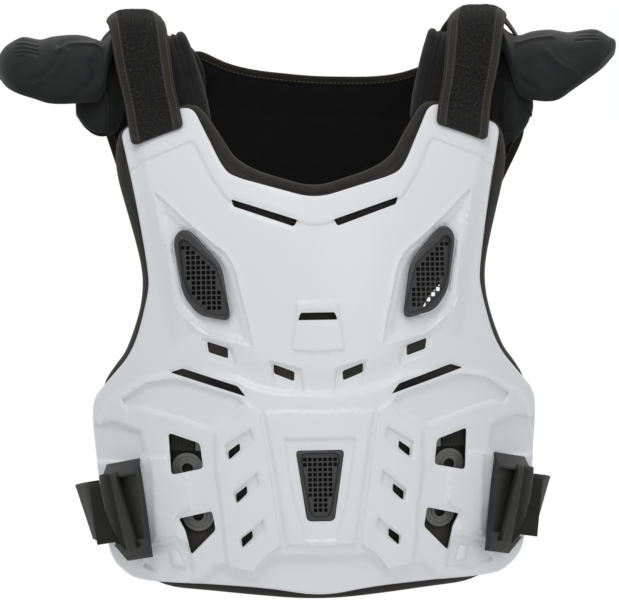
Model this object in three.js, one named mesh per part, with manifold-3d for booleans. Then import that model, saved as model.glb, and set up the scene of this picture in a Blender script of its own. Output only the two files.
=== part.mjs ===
// A motocross roost deflector: a moulded chest plate and a back plate with padded liners, joined
// by two shoulder straps and two side straps, with padded shoulder cups.
// Millimetres. +X is to the right of someone facing the chest, -Y is forward, +Z is up.
// The origin lies between the shoulders, at the height of the padding that rests on them.

import * as THREE from 'three';
import { mergeVertices } from 'three/addons/utils/BufferGeometryUtils.js';
import Module from 'manifold-3d';

const wasm = await Module();
wasm.setup();

// Chest plate
const plateWidth = 380;
const plateHeight = 412;
const plateTop = -63;
const plateWall = 3.6;
const chestReach = 136;
const chestWrap = 108;
const edgeRound = 16;
const slotRound = 1.6;
const reliefStep = 1.8;

// Vents
const ventProud = 1.4;
const ventRim = 4.6;
const ventFloor = 1.8;
const ventSink = 2.0;
const holeSide = 3.9;
const holePitch = 6.5;

// Liners
const linerThick = 8;
const backLinerThick = 10;

// Back plate
const backWidth = 380;
const backHeight = 432;
const backTop = -10;
const backWall = 3.4;
const backOverlap = 2.5;
const backReach = 134;
const backWrap = 62;
const backPivot = -140;
const backTurn = THREE.MathUtils.degToRad(4);
const spineWidth = 92;

// Shoulder straps and the pads under them
const strapWidth = 48;
const strapThick = 3;
const strapSpread = 150;
const strapRise = 24;
const padWidth = 50;
const padThick = 12;
const padSpread = 130;
const padDrop = 78;
const padRoll = THREE.MathUtils.degToRad(13);

// Shoulder cups and the lobes under them
const cupReach = 268;
const cupDrop = 58;
const cupFront = 38;
// How far outside the middle of a padded band a cup and a lobe begin
const cupInset = 16.06;
const cupThick = 9;
const lobeShare = 0.4751;
const lobeDrop = 84;
const lobeFront = 22;
const lobeThick = 6;
// How far short of the back plate's reach a cup and a lobe end
const cupRoom = 48;
const lobeRoom = 88;

// Side straps, buckles and the brackets behind the windows
const webWidth = 50;
const webThick = 2.2;
const buckleHeight = 84;
const buckleWidth = 38;
const buckleDepth = 15;
const buckleOut = 156;
const buckleDown = -404;
const buckleTurn = THREE.MathUtils.degToRad(40);
const buckleLean = THREE.MathUtils.degToRad(9);
const buckleLift = 4.25;
const leverWidth = 20;
const leverHeight = 68;
const leverThick = 5;
const leverLap = 5;
const barWide = 7;
const slotWide = 8;
const barDeep = 6;
const tailLength = 20;
const webReach = 200;
const discRadius = 13.5;
const discBore = 4.7;
const bracketThick = 4;

// Clearances
const seatGap = 0.3;
const pocketGap = 0.6;
const padBow = 3.55;
const strapSlack = 0.6;
const ventGap = 0.4;
const cellWide = 34;
const cellHigh = 58;

// Curve of the chest plate down its middle: height is the share of the plate's height, down from
// its top; reach is how far forward it stands; wrap is how far it falls back at its side.
const chestRows = [
  { down: -0.12, reach: 0.36, wrap: 0.40 },
  { down: 0.00, reach: 0.59, wrap: 0.54 },
  { down: 0.09, reach: 0.74, wrap: 0.63 },
  { down: 0.19, reach: 0.86, wrap: 0.74 },
  { down: 0.28, reach: 0.93, wrap: 0.83 },
  { down: 0.43, reach: 0.985, wrap: 0.93 },
  { down: 0.62, reach: 1.00, wrap: 0.98 },
  { down: 0.82, reach: 0.955, wrap: 1.00 },
  { down: 1.01, reach: 0.855, wrap: 1.00 },
  { down: 1.12, reach: 0.79, wrap: 0.98 },
];

// The same for the back plate, whose reach and wrap are measured towards the back.
const backRows = [
  { down: -0.10, reach: 0.56, wrap: 0.80 },
  { down: 0.00, reach: 0.68, wrap: 0.88 },
  { down: 0.12, reach: 0.86, wrap: 0.96 },
  { down: 0.26, reach: 0.97, wrap: 1.00 },
  { down: 0.42, reach: 1.00, wrap: 1.00 },
  { down: 0.62, reach: 0.91, wrap: 0.94 },
  { down: 0.80, reach: 0.84, wrap: 0.90 },
  { down: 1.00, reach: 0.86, wrap: 0.88 },
  { down: 1.10, reach: 0.88, wrap: 0.88 },
];

// Outlines of one half, from the middle of the neck to the middle of the hem: [share of the half
// width, share of the height down from the top, share of edgeRound].
const plateEdge = [
  [0.000, 0.200, 1.0], [0.363, 0.150, 1.0], [0.405, 0.126, 0.6], [0.532, -0.001, 0.7],
  [0.853, 0.045, 0.6], [0.784, 0.197, 2.0], [0.733, 0.345, 2.0], [0.737, 0.386, 2.0],
  [0.805, 0.500, 1.5], [0.937, 0.568, 1.0], [0.992, 0.597, 1.0], [1.003, 0.638, 1.2],
  [0.979, 0.755, 2.0], [0.942, 0.905, 1.4], [0.905, 0.944, 1.2], [0.821, 0.973, 1.2],
  [0.484, 0.976, 1.2], [0.232, 0.982, 2.0], [0.000, 1.000, 2.0],
];
const linerEdge = [
  [0.000, 0.176, 1.0], [0.326, 0.129, 2.0], [0.421, 0.051, 1.5], [0.511, -0.010, 0.8],
  [0.860, 0.040, 0.8], [0.884, 0.119, 1.5], [0.779, 0.294, 2.0], [0.758, 0.355, 2.0],
  [0.772, 0.415, 2.0], [0.837, 0.500, 2.0], [0.900, 0.535, 1.2], [0.953, 0.572, 1.0],
  [0.930, 0.905, 1.5], [0.726, 0.985, 1.5], [0.463, 0.991, 1.0], [0.000, 1.008, 2.0],
];
const backEdge = [
  [0.000, 0.042, 1.0], [0.360, 0.036, 2.0], [0.560, 0.002, 0.7], [0.660, 0.040, 1.0],
  [0.985, 0.118, 1.2], [0.990, 0.150, 1.0], [0.820, 0.342, 2.0], [0.740, 0.415, 2.0],
  [0.560, 0.505, 2.0], [0.510, 0.660, 2.0], [0.600, 0.830, 2.0], [0.645, 0.920, 2.0],
  [0.560, 0.975, 1.8], [0.000, 1.000, 2.0],
];

// Cuts in the right half of the chest plate, as [share of the half width, share of the height].
const collarSlot = [[0.078, 0.242], [0.366, 0.197], [0.355, 0.212], [0.096, 0.255]];
const ribSlots = [
  [[0.481, 0.483], [0.390, 0.497], [0.390, 0.518], [0.474, 0.505]],
  [[0.195, 0.530], [0.104, 0.546], [0.106, 0.565], [0.193, 0.549]],
  [[0.644, 0.545], [0.589, 0.537], [0.351, 0.573], [0.317, 0.594]],
  [[0.397, 0.704], [0.346, 0.687], [0.344, 0.702], [0.393, 0.721]],
  [[0.367, 0.791], [0.318, 0.773], [0.316, 0.789], [0.362, 0.809]],
  [[0.345, 0.880], [0.297, 0.863], [0.295, 0.879], [0.341, 0.899]],
];
const sternumSlot = [[0.074, 0.428], [0.086, 0.443]];
const upperWindow = [[0.657, 0.667], [0.519, 0.688], [0.506, 0.739], [0.647, 0.753]];
const lowerWindow = [[0.618, 0.842], [0.471, 0.825], [0.456, 0.864], [0.565, 0.916], [0.589, 0.867]];
const chestVent = [
  [0.624, 0.279], [0.597, 0.257], [0.547, 0.257], [0.411, 0.330], [0.374, 0.444], [0.518, 0.430],
  [0.584, 0.388],
];
const chestMesh = [
  [0.582, 0.282], [0.450, 0.336], [0.400, 0.425], [0.463, 0.420], [0.539, 0.388], [0.566, 0.353],
];
const bellyVent = [[0.106, 0.703], [0.060, 0.846]];
const bellyMesh = [[0.072, 0.716], [0.030, 0.830]];

// Raised and sunk fields of the chest plate; lift is in steps of reliefStep.
const sternumField = { corners: [[0.087, 0.415], [0.134, 0.508]], lift: 1.0 };
const bellyField = { corners: [[0.235, 0.619], [0.203, 0.801], [0.174, 0.915]], lift: 1.5 };
const sideFields = [
  {
    corners: [[0.770, 0.110], [0.526, 0.068], [0.440, 0.175], [0.560, 0.245], [0.700, 0.180]],
    lift: -0.9,
  },
  {
    corners: [[0.430, 0.640], [0.430, 0.880], [0.421, 0.942], [0.292, 0.955], [0.150, 0.900],
      [0.203, 0.801], [0.245, 0.640]],
    lift: 0.8,
  },
  { corners: [[0.600, 0.894], [0.671, 0.905], [0.661, 0.944], [0.572, 0.954]], lift: 0.9 },
];
const discSeats = [[0.576, 0.741], [0.532, 0.835]];

// Middle line of the shoulder strap: out is a share of strapSpread and rise a share of strapRise.
// Back is a share of the way from the chest plate's tab to the back plate.
const strapRows = [
  { out: 0.925, back: 0.06, rise: -1.00 },
  { out: 0.965, back: 0.20, rise: 0.45 },
  { out: 0.995, back: 0.38, rise: 0.95 },
  { out: 1.000, back: 0.58, rise: 1.00 },
  { out: 0.990, back: 0.80, rise: 0.80 },
  { out: 0.960, back: 0.97, rise: 0.00 },
];
// Middle line of the padded band, in the same way; its rise is a share of padDrop.
const padRows = [
  { out: 0.94, back: 0.24, rise: -0.30 },
  { out: 0.985, back: 0.44, rise: -0.094 },
  { out: 1.00, back: 0.64, rise: -0.055 },
  { out: 0.99, back: 0.83, rise: -0.16 },
];

// Sections of the cups and lobes from root to tip. Out is a share of the reach, crest a height in
// shares of the drop, drop and deep the shares by which the arch hangs and spreads.
const leftCupRows = [
  { out: 0.545, crest: 0.335, drop: 0.05, deep: 0.26 },
  { out: 0.592, crest: 0.325, drop: 0.06, deep: 0.40 },
  { out: 0.630, crest: 0.130, drop: 0.38, deep: 0.80 },
  { out: 0.665, crest: 0.000, drop: 0.82, deep: 0.90 },
  { out: 0.715, crest: 0.045, drop: 0.95, deep: 0.98 },
  { out: 0.820, crest: 0.060, drop: 0.98, deep: 1.00 },
  { out: 0.880, crest: 0.040, drop: 0.87, deep: 0.94 },
  { out: 0.935, crest: 0.020, drop: 0.75, deep: 0.84 },
  { out: 0.972, crest: -0.050, drop: 0.56, deep: 0.66 },
  { out: 0.995, crest: -0.170, drop: 0.30, deep: 0.42 },
];
const rightCupRows = [
  { out: 0.545, crest: 0.335, drop: 0.05, deep: 0.26 },
  { out: 0.592, crest: 0.325, drop: 0.06, deep: 0.40 },
  { out: 0.630, crest: 0.130, drop: 0.40, deep: 0.80 },
  { out: 0.670, crest: 0.010, drop: 0.86, deep: 0.90 },
  { out: 0.725, crest: 0.030, drop: 1.00, deep: 0.98 },
  { out: 0.790, crest: 0.045, drop: 1.02, deep: 1.00 },
  { out: 0.845, crest: 0.045, drop: 0.86, deep: 0.93 },
  { out: 0.900, crest: 0.045, drop: 0.68, deep: 0.80 },
  { out: 0.950, crest: 0.040, drop: 0.50, deep: 0.64 },
  { out: 0.988, crest: -0.040, drop: 0.24, deep: 0.40 },
];
const leftLobeRows = [
  { out: 0.716, crest: 0.086, drop: 0.03, deep: 0.32 },
  { out: 0.770, crest: 0.054, drop: 0.05, deep: 0.42 },
  { out: 0.814, crest: -0.080, drop: 0.34, deep: 0.56 },
  { out: 0.862, crest: -0.170, drop: 0.78, deep: 0.96 },
  { out: 0.912, crest: -0.200, drop: 0.74, deep: 1.00 },
  { out: 0.956, crest: -0.260, drop: 0.60, deep: 0.92 },
  { out: 0.985, crest: -0.380, drop: 0.38, deep: 0.76 },
];
const rightLobeRows = [
  { out: 0.716, crest: 0.086, drop: 0.03, deep: 0.32 },
  { out: 0.770, crest: 0.054, drop: 0.05, deep: 0.42 },
  { out: 0.806, crest: -0.070, drop: 0.36, deep: 0.54 },
  { out: 0.850, crest: -0.170, drop: 0.94, deep: 0.98 },
  { out: 0.890, crest: -0.200, drop: 0.84, deep: 1.00 },
  { out: 0.925, crest: -0.260, drop: 0.66, deep: 0.90 },
  { out: 0.952, crest: -0.380, drop: 0.40, deep: 0.74 },
];

// Side strap on its way from the buckle round the waist to the back plate. Out and back are shares
// of webReach, fall a share of its width, and lean tips its upper edge outwards.
const webRows = [
  { out: 0.950, back: -0.135, lean: 8, fall: 0.06 },
  { out: 0.982, back: 0.02, lean: 15, fall: 0.10 },
  { out: 1.000, back: 0.20, lean: 18, fall: 0.14 },
  { out: 0.965, back: 0.32, lean: 14, fall: 0.14 },
  { out: 0.880, back: 0.43, lean: 9, fall: 0.12 },
  { out: 0.745, back: 0.53, lean: 4, fall: 0.10 },
];

// Solids and geometry

function toSolid(geometry) {
  const bare = geometry.clone();
  bare.deleteAttribute('normal');
  bare.deleteAttribute('uv');
  const merged = mergeVertices(bare, 1e-4);
  return new wasm.Manifold(new wasm.Mesh({
    numProp: 3,
    vertProperties: Float32Array.from(merged.attributes.position.array),
    triVerts: Uint32Array.from(merged.index.array),
  }));
}

function toGeometry(solid) {
  const mesh = solid.getMesh();
  const geometry = new THREE.BufferGeometry();
  geometry.setAttribute('position', new THREE.BufferAttribute(Float32Array.from(mesh.vertProperties), 3));
  geometry.setIndex(new THREE.BufferAttribute(Uint32Array.from(mesh.triVerts), 1));
  geometry.computeVertexNormals();
  return geometry;
}

function indexed(points, faces) {
  const geometry = new THREE.BufferGeometry();
  const flat = points.flatMap((point) => [point.x, point.y, point.z]);
  geometry.setAttribute('position', new THREE.Float32BufferAttribute(flat, 3));
  geometry.setIndex(faces);
  return geometry;
}

// Reads a column of a table at a share of the height, on a smooth curve through its rows.
function readRow(rows, column, down) {
  const last = rows.length - 1;
  let low = rows.findIndex((row) => row.down > down) - 1;
  if (low < 0) low = down <= rows[0].down ? 0 : last - 1;
  const row = (index) => rows[Math.min(Math.max(index, 0), last)];
  const span = rows[low + 1].down - rows[low].down;
  const share = Math.min(Math.max((down - rows[low].down) / span, 0), 1);
  const slope = (index) => {
    const before = row(index - 1);
    const after = row(index + 1);
    return (after[column] - before[column]) / (after.down - before.down) * span;
  };
  const square = share * share;
  const cube = square * share;
  return rows[low][column] * (2 * cube - 3 * square + 1)
    + slope(low) * (cube - 2 * square + share)
    + rows[low + 1][column] * (3 * square - 2 * cube)
    + slope(low + 1) * (cube - square);
}

function chestSurface(x, z) {
  const down = (plateTop - z) / plateHeight;
  const across = x / (plateWidth / 2);
  return -chestReach * readRow(chestRows, 'reach', down)
    + chestWrap * readRow(chestRows, 'wrap', down) * across * across;
}

function backSurface(x, z) {
  const down = (backTop - z) / backHeight;
  const across = x / (backWidth / 2);
  return backReach * readRow(backRows, 'reach', down)
    - backWrap * readRow(backRows, 'wrap', down) * across * across;
}

// How much farther a step along Y is than the same step square to the surface.
function steepness(surface, x, z) {
  const step = 1;
  const slopeX = (surface(x + step, z) - surface(x - step, z)) / (2 * step);
  const slopeZ = (surface(x, z + step) - surface(x, z - step)) / (2 * step);
  return Math.sqrt(1 + slopeX * slopeX + slopeZ * slopeZ);
}

// A wall that follows a surface. Its front face stands lift before the surface, square to it, and
// the wall is thick behind that. All walls share one lattice, so that nested walls stay parallel.
function wall(surface, span, lift, thick) {
  const left = Math.floor(span.left / cellWide);
  const low = Math.floor(span.low / cellHigh);
  const across = Math.ceil(span.right / cellWide) - left;
  const up = Math.ceil(span.high / cellHigh) - low;
  const points = [];
  for (const depth of [-lift, thick - lift]) {
    for (let j = 0; j <= up; j += 1) {
      for (let i = 0; i <= across; i += 1) {
        const x = (left + i) * cellWide;
        const z = (low + j) * cellHigh;
        points.push(new THREE.Vector3(x, surface(x, z) + depth * steepness(surface, x, z), z));
      }
    }
  }
  const row = across + 1;
  const behind = row * (up + 1);
  const faces = [];
  for (let j = 0; j < up; j += 1) {
    for (let i = 0; i < across; i += 1) {
      const a = j * row + i;
      const b = a + 1;
      const c = b + row;
      const d = a + row;
      faces.push(a, b, c, a, c, d);
      faces.push(behind + a, behind + c, behind + b, behind + a, behind + d, behind + c);
    }
  }
  const rim = [];
  for (let i = 0; i < across; i += 1) rim.push(i);
  for (let j = 0; j < up; j += 1) rim.push(j * row + across);
  for (let i = across; i > 0; i -= 1) rim.push(up * row + i);
  for (let j = up; j > 0; j -= 1) rim.push(j * row);
  rim.forEach((from, index) => {
    const to = rim[(index + 1) % rim.length];
    faces.push(from, behind + from, behind + to, from, behind + to, to);
  });
  return toSolid(indexed(points, faces));
}

// Moves each side of an outline outwards by the same distance.
function grown(corners, by) {
  const area = corners.reduce((sum, corner, i) => {
    const next = corners[(i + 1) % corners.length];
    return sum + corner.x * next.z - next.x * corner.z;
  }, 0);
  const side = Math.sign(area) * by;
  const count = corners.length;
  return corners.map((corner, i) => {
    const before = corners[(i + count - 1) % count];
    const after = corners[(i + 1) % count];
    const inward = new THREE.Vector2(corner.x - before.x, corner.z - before.z).normalize();
    const onward = new THREE.Vector2(after.x - corner.x, after.z - corner.z).normalize();
    const spread = 1 + inward.dot(onward);
    const shift = side / spread;
    return {
      x: corner.x + shift * (inward.y + onward.y),
      z: corner.z - shift * (inward.x + onward.x),
      round: corner.round,
    };
  });
}

// A solid with this outline in X and Z, each corner rounded, that runs through Y.
function prism(corners, round = 0, steps = 2) {
  const shape = new THREE.Shape();
  const count = corners.length;
  corners.forEach((corner, i) => {
    const here = new THREE.Vector2(corner.x, corner.z);
    const before = corners[(i + count - 1) % count];
    const after = corners[(i + 1) % count];
    const radius = corner.round ?? round;
    const near = (other) => {
      const there = new THREE.Vector2(other.x, other.z);
      const length = here.distanceTo(there);
      return here.clone().lerp(there, Math.min(radius / length, 0.45));
    };
    const start = near(before);
    const end = near(after);
    if (i === 0) shape.moveTo(start.x, start.y);
    else shape.lineTo(start.x, start.y);
    if (radius > 0) shape.quadraticCurveTo(here.x, here.y, end.x, end.y);
  });
  shape.closePath();
  const reach = 2 * Math.max(chestReach, backReach);
  const geometry = new THREE.ExtrudeGeometry(shape, {
    depth: 2 * reach,
    bevelEnabled: false,
    curveSegments: steps,
  });
  geometry.rotateX(Math.PI / 2);
  geometry.translate(0, reach, 0);
  return toSolid(geometry);
}

function onPlate([across, down, round]) {
  return {
    x: across * plateWidth / 2,
    z: plateTop - down * plateHeight,
    round: round === undefined ? undefined : round * edgeRound,
  };
}

function onBackPlate([across, down, round]) {
  return {
    x: across * backWidth / 2,
    z: backTop - down * backHeight,
    round: round * edgeRound,
  };
}

function mirrored(corners) {
  return corners.map((corner) => ({ ...corner, x: -corner.x })).reverse();
}

// Joins the outline of a right half to its mirror image.
function bothHalves(corners) {
  const offMiddle = corners.filter((corner) => Math.abs(corner.x) > 1e-6);
  const middle = corners.filter((corner) => Math.abs(corner.x) <= 1e-6);
  if (middle.length < 2) return [...corners, ...mirrored(corners)];
  return [middle[0], ...offMiddle, middle[1], ...mirrored(offMiddle)];
}

function boxOf(corners, margin) {
  const xs = corners.map((corner) => corner.x);
  const zs = corners.map((corner) => corner.z);
  return {
    left: Math.min(...xs) - margin,
    right: Math.max(...xs) + margin,
    low: Math.min(...zs) - margin,
    high: Math.max(...zs) + margin,
  };
}

// The part of a wall that lies inside an outline.
function panel(surface, corners, lift, thick, round = 0) {
  return wall(surface, boxOf(corners, 2), lift, thick).intersect(prism(corners, round));
}

function inside(point, corners, margin) {
  return grown(corners, -margin).every((corner, i, all) => {
    const next = all[(i + 1) % all.length];
    const cross = (next.x - corner.x) * (point.z - corner.z) - (next.z - corner.z) * (point.x - corner.x);
    return Math.sign(cross) === turnOf(corners);
  });
}

function turnOf(corners) {
  return Math.sign(corners.reduce((sum, corner, i) => {
    const next = corners[(i + 1) % corners.length];
    return sum + corner.x * next.z - next.x * corner.z;
  }, 0));
}

const sideOf = { left: -1, right: 1 };

function sided(corners, side) {
  return side > 0 ? corners : mirrored(corners);
}

// Chest plate

function chestShell() {
  const edge = bothHalves(plateEdge.map(onPlate));
  let shell = panel(chestSurface, edge, 0, plateWall);
  const fields = [
    { corners: bothHalves(sternumField.corners.map(onPlate)), lift: sternumField.lift },
    { corners: bothHalves(bellyField.corners.map(onPlate)), lift: bellyField.lift },
  ];
  for (const side of Object.values(sideOf)) {
    for (const field of sideFields) {
      fields.push({ corners: sided(field.corners.map(onPlate), side), lift: field.lift });
    }
  }
  for (const { corners, lift } of fields) {
    const shift = lift * reliefStep;
    if (shift < 0) {
      shell = shell.subtract(prism(corners, edgeRound / 2));
      const floor = panel(chestSurface, grown(corners, plateWall / 2), shift, plateWall, edgeRound / 2);
      shell = shell.add(floor);
    } else {
      shell = shell.add(panel(chestSurface, corners, shift, plateWall, edgeRound / 4));
    }
  }
  const cuts = [
    ...[collarSlot, ...ribSlots].map((corners) => ({ corners, round: slotRound })),
    { corners: upperWindow, round: 3 * slotRound },
    { corners: lowerWindow, round: 2 * slotRound },
    { corners: chestVent, round: edgeRound / 2 },
  ];
  for (const { corners, round } of cuts) {
    for (const side of Object.values(sideOf)) {
      shell = shell.subtract(prism(sided(corners.map(onPlate), side), round, round > slotRound ? 2 : 1));
    }
  }
  shell = shell.subtract(prism(bothHalves(sternumSlot.map(onPlate)), slotRound, 1));
  return shell.subtract(prism(bothHalves(bellyVent.map(onPlate)), edgeRound / 4, 2));
}

// A vent: a rim that stands a little proud of the plate round a sunk grille of square holes.
function vent(outline, mesh, round, rowTop) {
  const rim = grown(outline, -ventGap);
  let solid = panel(chestSurface, rim, ventProud, ventRim + ventProud, round + ventGap);
  const field = grown(mesh, holeSide / 2);
  solid = solid.subtract(panel(chestSurface, field, 2 * ventProud, 2 * ventProud + ventSink, slotRound));
  solid = solid.subtract(panel(chestSurface, field, -ventSink - ventFloor, ventRim, slotRound));
  const span = boxOf(mesh, 0);
  const middle = (span.left + span.right) / 2;
  const columns = Math.ceil((span.right - span.left) / holePitch / 2);
  const rows = Math.ceil((span.high - span.low) / holePitch);
  let holes = null;
  for (let row = 0; row <= rows; row += 1) {
    for (let column = -columns; column <= columns; column += 1) {
      const point = { x: middle + column * holePitch, z: rowTop - row * holePitch };
      if (inside(point, mesh, holeSide / 4)) {
        const hole = new THREE.BoxGeometry(holeSide, 3 * (ventFloor + ventSink + ventProud), holeSide);
        const sink = ventSink + ventFloor / 2;
        hole.translate(point.x, chestSurface(point.x, point.z) + sink, point.z);
        const cutter = toSolid(hole);
        holes = holes ? holes.add(cutter) : cutter;
      }
    }
  }
  return solid.subtract(holes);
}

function chestVentOf(side) {
  const mesh = sided(chestMesh.map(onPlate), side);
  return vent(sided(chestVent.map(onPlate), side), mesh, edgeRound / 2, boxOf(mesh, 0).high - holePitch / 2);
}

function bellyVentSolid() {
  const mesh = bothHalves(bellyMesh.map(onPlate));
  return vent(bothHalves(bellyVent.map(onPlate)), mesh, edgeRound / 4, boxOf(mesh, 0).high - holePitch / 2);
}

// Bracket that anchors the side strap behind the two windows: two bored discs, a link and an arm.

const linerFace = plateWall + 0.9 * reliefStep + seatGap;

function bracketOutline(side, grow) {
  const [upper, lower] = discSeats.map(onPlate);
  const disc = (seat) => {
    const ring = [];
    const sides = 16;
    for (let i = 0; i < sides; i += 1) {
      const angle = i / sides * 2 * Math.PI;
      ring.push({
        x: side * seat.x + (discRadius + grow) * Math.cos(angle),
        z: seat.z + (discRadius + grow) * Math.sin(angle),
      });
    }
    return prism(ring);
  };
  const half = discRadius * 0.5;
  const link = [
    { x: upper.x - half, z: upper.z },
    { x: lower.x - half, z: lower.z },
    { x: lower.x + half, z: lower.z },
    { x: upper.x + half, z: upper.z },
  ];
  const armTop = onPlate(upperWindow[1]).z + discRadius / 3;
  const arm = [
    { x: upper.x - discRadius, z: armTop },
    { x: upper.x - discRadius, z: upper.z },
    { x: upper.x - discRadius + half, z: upper.z },
    { x: upper.x - discRadius + half, z: armTop },
  ];
  return disc(upper)
    .add(disc(lower))
    .add(prism(grown(sided(link, side), grow)))
    .add(prism(grown(sided(arm, side), grow)));
}

function bracket(side) {
  const seats = discSeats.map(onPlate).map((seat) => ({ x: side * seat.x, z: seat.z }));
  const span = boxOf(seats, 2 * discRadius);
  const plate = wall(chestSurface, span, -(plateWall + seatGap), bracketThick);
  let solid = plate.intersect(bracketOutline(side, 0));
  for (const seat of seats) {
    const bore = new THREE.CylinderGeometry(discBore, discBore, 4 * discRadius, 12);
    bore.translate(seat.x, chestSurface(seat.x, seat.z), seat.z);
    solid = solid.subtract(toSolid(bore));
  }
  return solid;
}

// Padded chest liner, behind the plate, with room for the brackets and openings at the vents.

function chestLiner() {
  const edge = bothHalves(linerEdge.map(onPlate));
  let liner = panel(chestSurface, edge, -linerFace, linerThick);
  for (const side of Object.values(sideOf)) {
    const seats = discSeats.map(onPlate).map((seat) => ({ x: side * seat.x, z: seat.z }));
    const pocketDepth = plateWall + seatGap + bracketThick + pocketGap;
    const pocket = wall(chestSurface, boxOf(seats, 2 * discRadius), 0, pocketDepth)
      .intersect(bracketOutline(side, pocketGap));
    liner = liner.subtract(pocket);
    liner = liner.subtract(prism(grown(sided(chestVent.map(onPlate), side), pocketGap), edgeRound / 2, 2));
  }
  return liner.subtract(prism(grown(bothHalves(bellyVent.map(onPlate)), pocketGap), edgeRound / 4, 2));
}

// Back plate and its liner. They hang turned a few degrees about a point between the shoulder blades.

const backGroup = new THREE.Group();
backGroup.position.set(0, 0, backPivot);
backGroup.rotation.set(0, backTurn, 0);
backGroup.updateMatrixWorld(true);

function onTurnedBack(x, z, lift) {
  const y = backSurface(x, z) + lift * steepness(backSurface, x, z);
  return backGroup.localToWorld(new THREE.Vector3(x, y, z - backPivot));
}

function backShell() {
  const edge = bothHalves(backEdge.map(onBackPlate));
  const spine = [
    { x: 0.62 * spineWidth / 2, z: backTop - 0.16 * backHeight },
    { x: spineWidth / 2, z: backTop - 0.34 * backHeight },
    { x: 0.7 * spineWidth / 2, z: backTop - 0.62 * backHeight },
    { x: 0.8 * spineWidth / 2, z: backTop - 0.88 * backHeight },
  ];
  const shell = panel(backSurface, grown(edge, backOverlap), 0, backWall);
  return shell.add(panel(backSurface, bothHalves(spine), -reliefStep, backWall, edgeRound / 3));
}

function backLiner() {
  const edge = bothHalves(backEdge.map(onBackPlate));
  return panel(backSurface, edge, backLinerThick + seatGap, backLinerThick);
}

// A closed band swept through sections that all have the same number of points.
function loft(sections) {
  const size = sections[0].length;
  const points = sections.flat();
  const faces = [];
  for (let s = 0; s + 1 < sections.length; s += 1) {
    for (let i = 0; i < size; i += 1) {
      const next = (i + 1) % size;
      const a = s * size + i;
      const b = s * size + next;
      faces.push(a, b, b + size, a, b + size, a + size);
    }
  }
  const caps = [
    { start: 0, flip: true },
    { start: (sections.length - 1) * size, flip: false },
  ];
  for (const { start, flip } of caps) {
    for (let i = 0; i < size / 2 - 1; i += 1) {
      const a = start + i;
      const b = start + i + 1;
      const c = start + size - 2 - i;
      const d = start + size - 1 - i;
      const pair = flip ? [a, c, b, a, d, c] : [a, b, c, a, c, d];
      faces.push(...pair);
    }
  }
  if (enclosed(points, faces) < 0) faces.reverse();
  return toSolid(indexed(points, faces));
}

// The volume that a list of triangles encloses, below zero where they face inwards.
function enclosed(points, faces) {
  let volume = 0;
  for (let i = 0; i < faces.length; i += 3) {
    const [a, b, c] = [points[faces[i]], points[faces[i + 1]], points[faces[i + 2]]];
    volume += a.dot(new THREE.Vector3().crossVectors(b, c)) / 6;
  }
  return volume;
}

// Sections of a flat band: at each place its middle, the way across it and the way out of it.
function bandSections(places, width, thick, roundEnds) {
  return places.map(({ middle, across, out }) => {
    const half = width / 2;
    const inset = roundEnds ? thick * 0.32 : 0;
    const corner = (a, o) => middle.clone().addScaledVector(across, a).addScaledVector(out, o);
    const flat = thick / 2;
    if (!roundEnds) {
      return [corner(-half, -flat), corner(half, -flat), corner(half, flat), corner(-half, flat)];
    }
    return [
      corner(-half + inset, -flat), corner(half - inset, -flat), corner(half, -flat * 0.4),
      corner(half, flat * 0.4), corner(half - inset, flat), corner(-half + inset, flat),
      corner(-half, flat * 0.4), corner(-half, -flat * 0.4),
    ];
  });
}

function bandPlaces(points, steps, acrossAt) {
  const curve = new THREE.CatmullRomCurve3(points, false, 'centripetal');
  const places = [];
  for (let i = 0; i <= steps; i += 1) {
    const share = i / steps;
    const middle = curve.getPointAt(share);
    const along = curve.getTangentAt(share);
    const guess = acrossAt(share);
    const out = new THREE.Vector3().crossVectors(guess, along).normalize();
    const across = new THREE.Vector3().crossVectors(along, out).normalize();
    places.push({ middle, across, out });
  }
  return places;
}

// The level way across a surface at a point.
function acrossOf(surface, x, z) {
  const step = 1;
  return new THREE.Vector3(2 * step, surface(x + step, z) - surface(x - step, z), 0).normalize();
}

// A point that stands off the chest plate's face, or with a negative stand behind it.
function offChest(x, z, stand) {
  return new THREE.Vector3(x, chestSurface(x, z) - stand * steepness(chestSurface, x, z), z);
}

// Turns the way across a band from the chest plate's slope to the back plate's.
function acrossBetween(front, over, behind) {
  return (share) => {
    if (share < 0.5) {
      return front.clone().lerp(over, THREE.MathUtils.clamp((share - 0.15) / 0.25, 0, 1)).normalize();
    }
    return over.clone().lerp(behind, THREE.MathUtils.clamp((share - 0.6) / 0.2, 0, 1)).normalize();
  };
}

// Shoulder strap: it leaves the face of the chest plate's tab, arches free over the shoulder and
// lies on the outer face of the back plate.
function shoulderStrap(side) {
  const stand = seatGap + strapSlack + strapThick / 2;
  const tabX = side * 0.845 * strapSpread;
  const endZ = plateTop - 0.062 * plateHeight;
  const backX = side * 0.90 * strapSpread;
  const backEndZ = backTop - 0.20 * backHeight;
  const start = offChest(tabX, endZ, stand);
  const tab = offChest(tabX * 1.035, plateTop, stand);
  const backStart = onTurnedBack(backX, backTop - 0.10 * backHeight, backWall + stand + 1);
  const backEnd = onTurnedBack(backX * 0.97, backEndZ, backWall + stand);
  const middle = strapRows.map((row) => new THREE.Vector3(
    side * row.out * strapSpread,
    THREE.MathUtils.lerp(tab.y, backStart.y, row.back),
    row.rise * strapRise,
  ));
  const level = new THREE.Vector3(1, 0, 0);
  const acrossAt = acrossBetween(
    acrossOf(chestSurface, tabX, endZ), level, acrossOf(backSurface, backX, backEndZ),
  );
  const places = bandPlaces([start, tab, ...middle, backStart, backEnd], 22, acrossAt);
  return loft(bandSections(places, strapWidth, strapThick, false));
}

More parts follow.
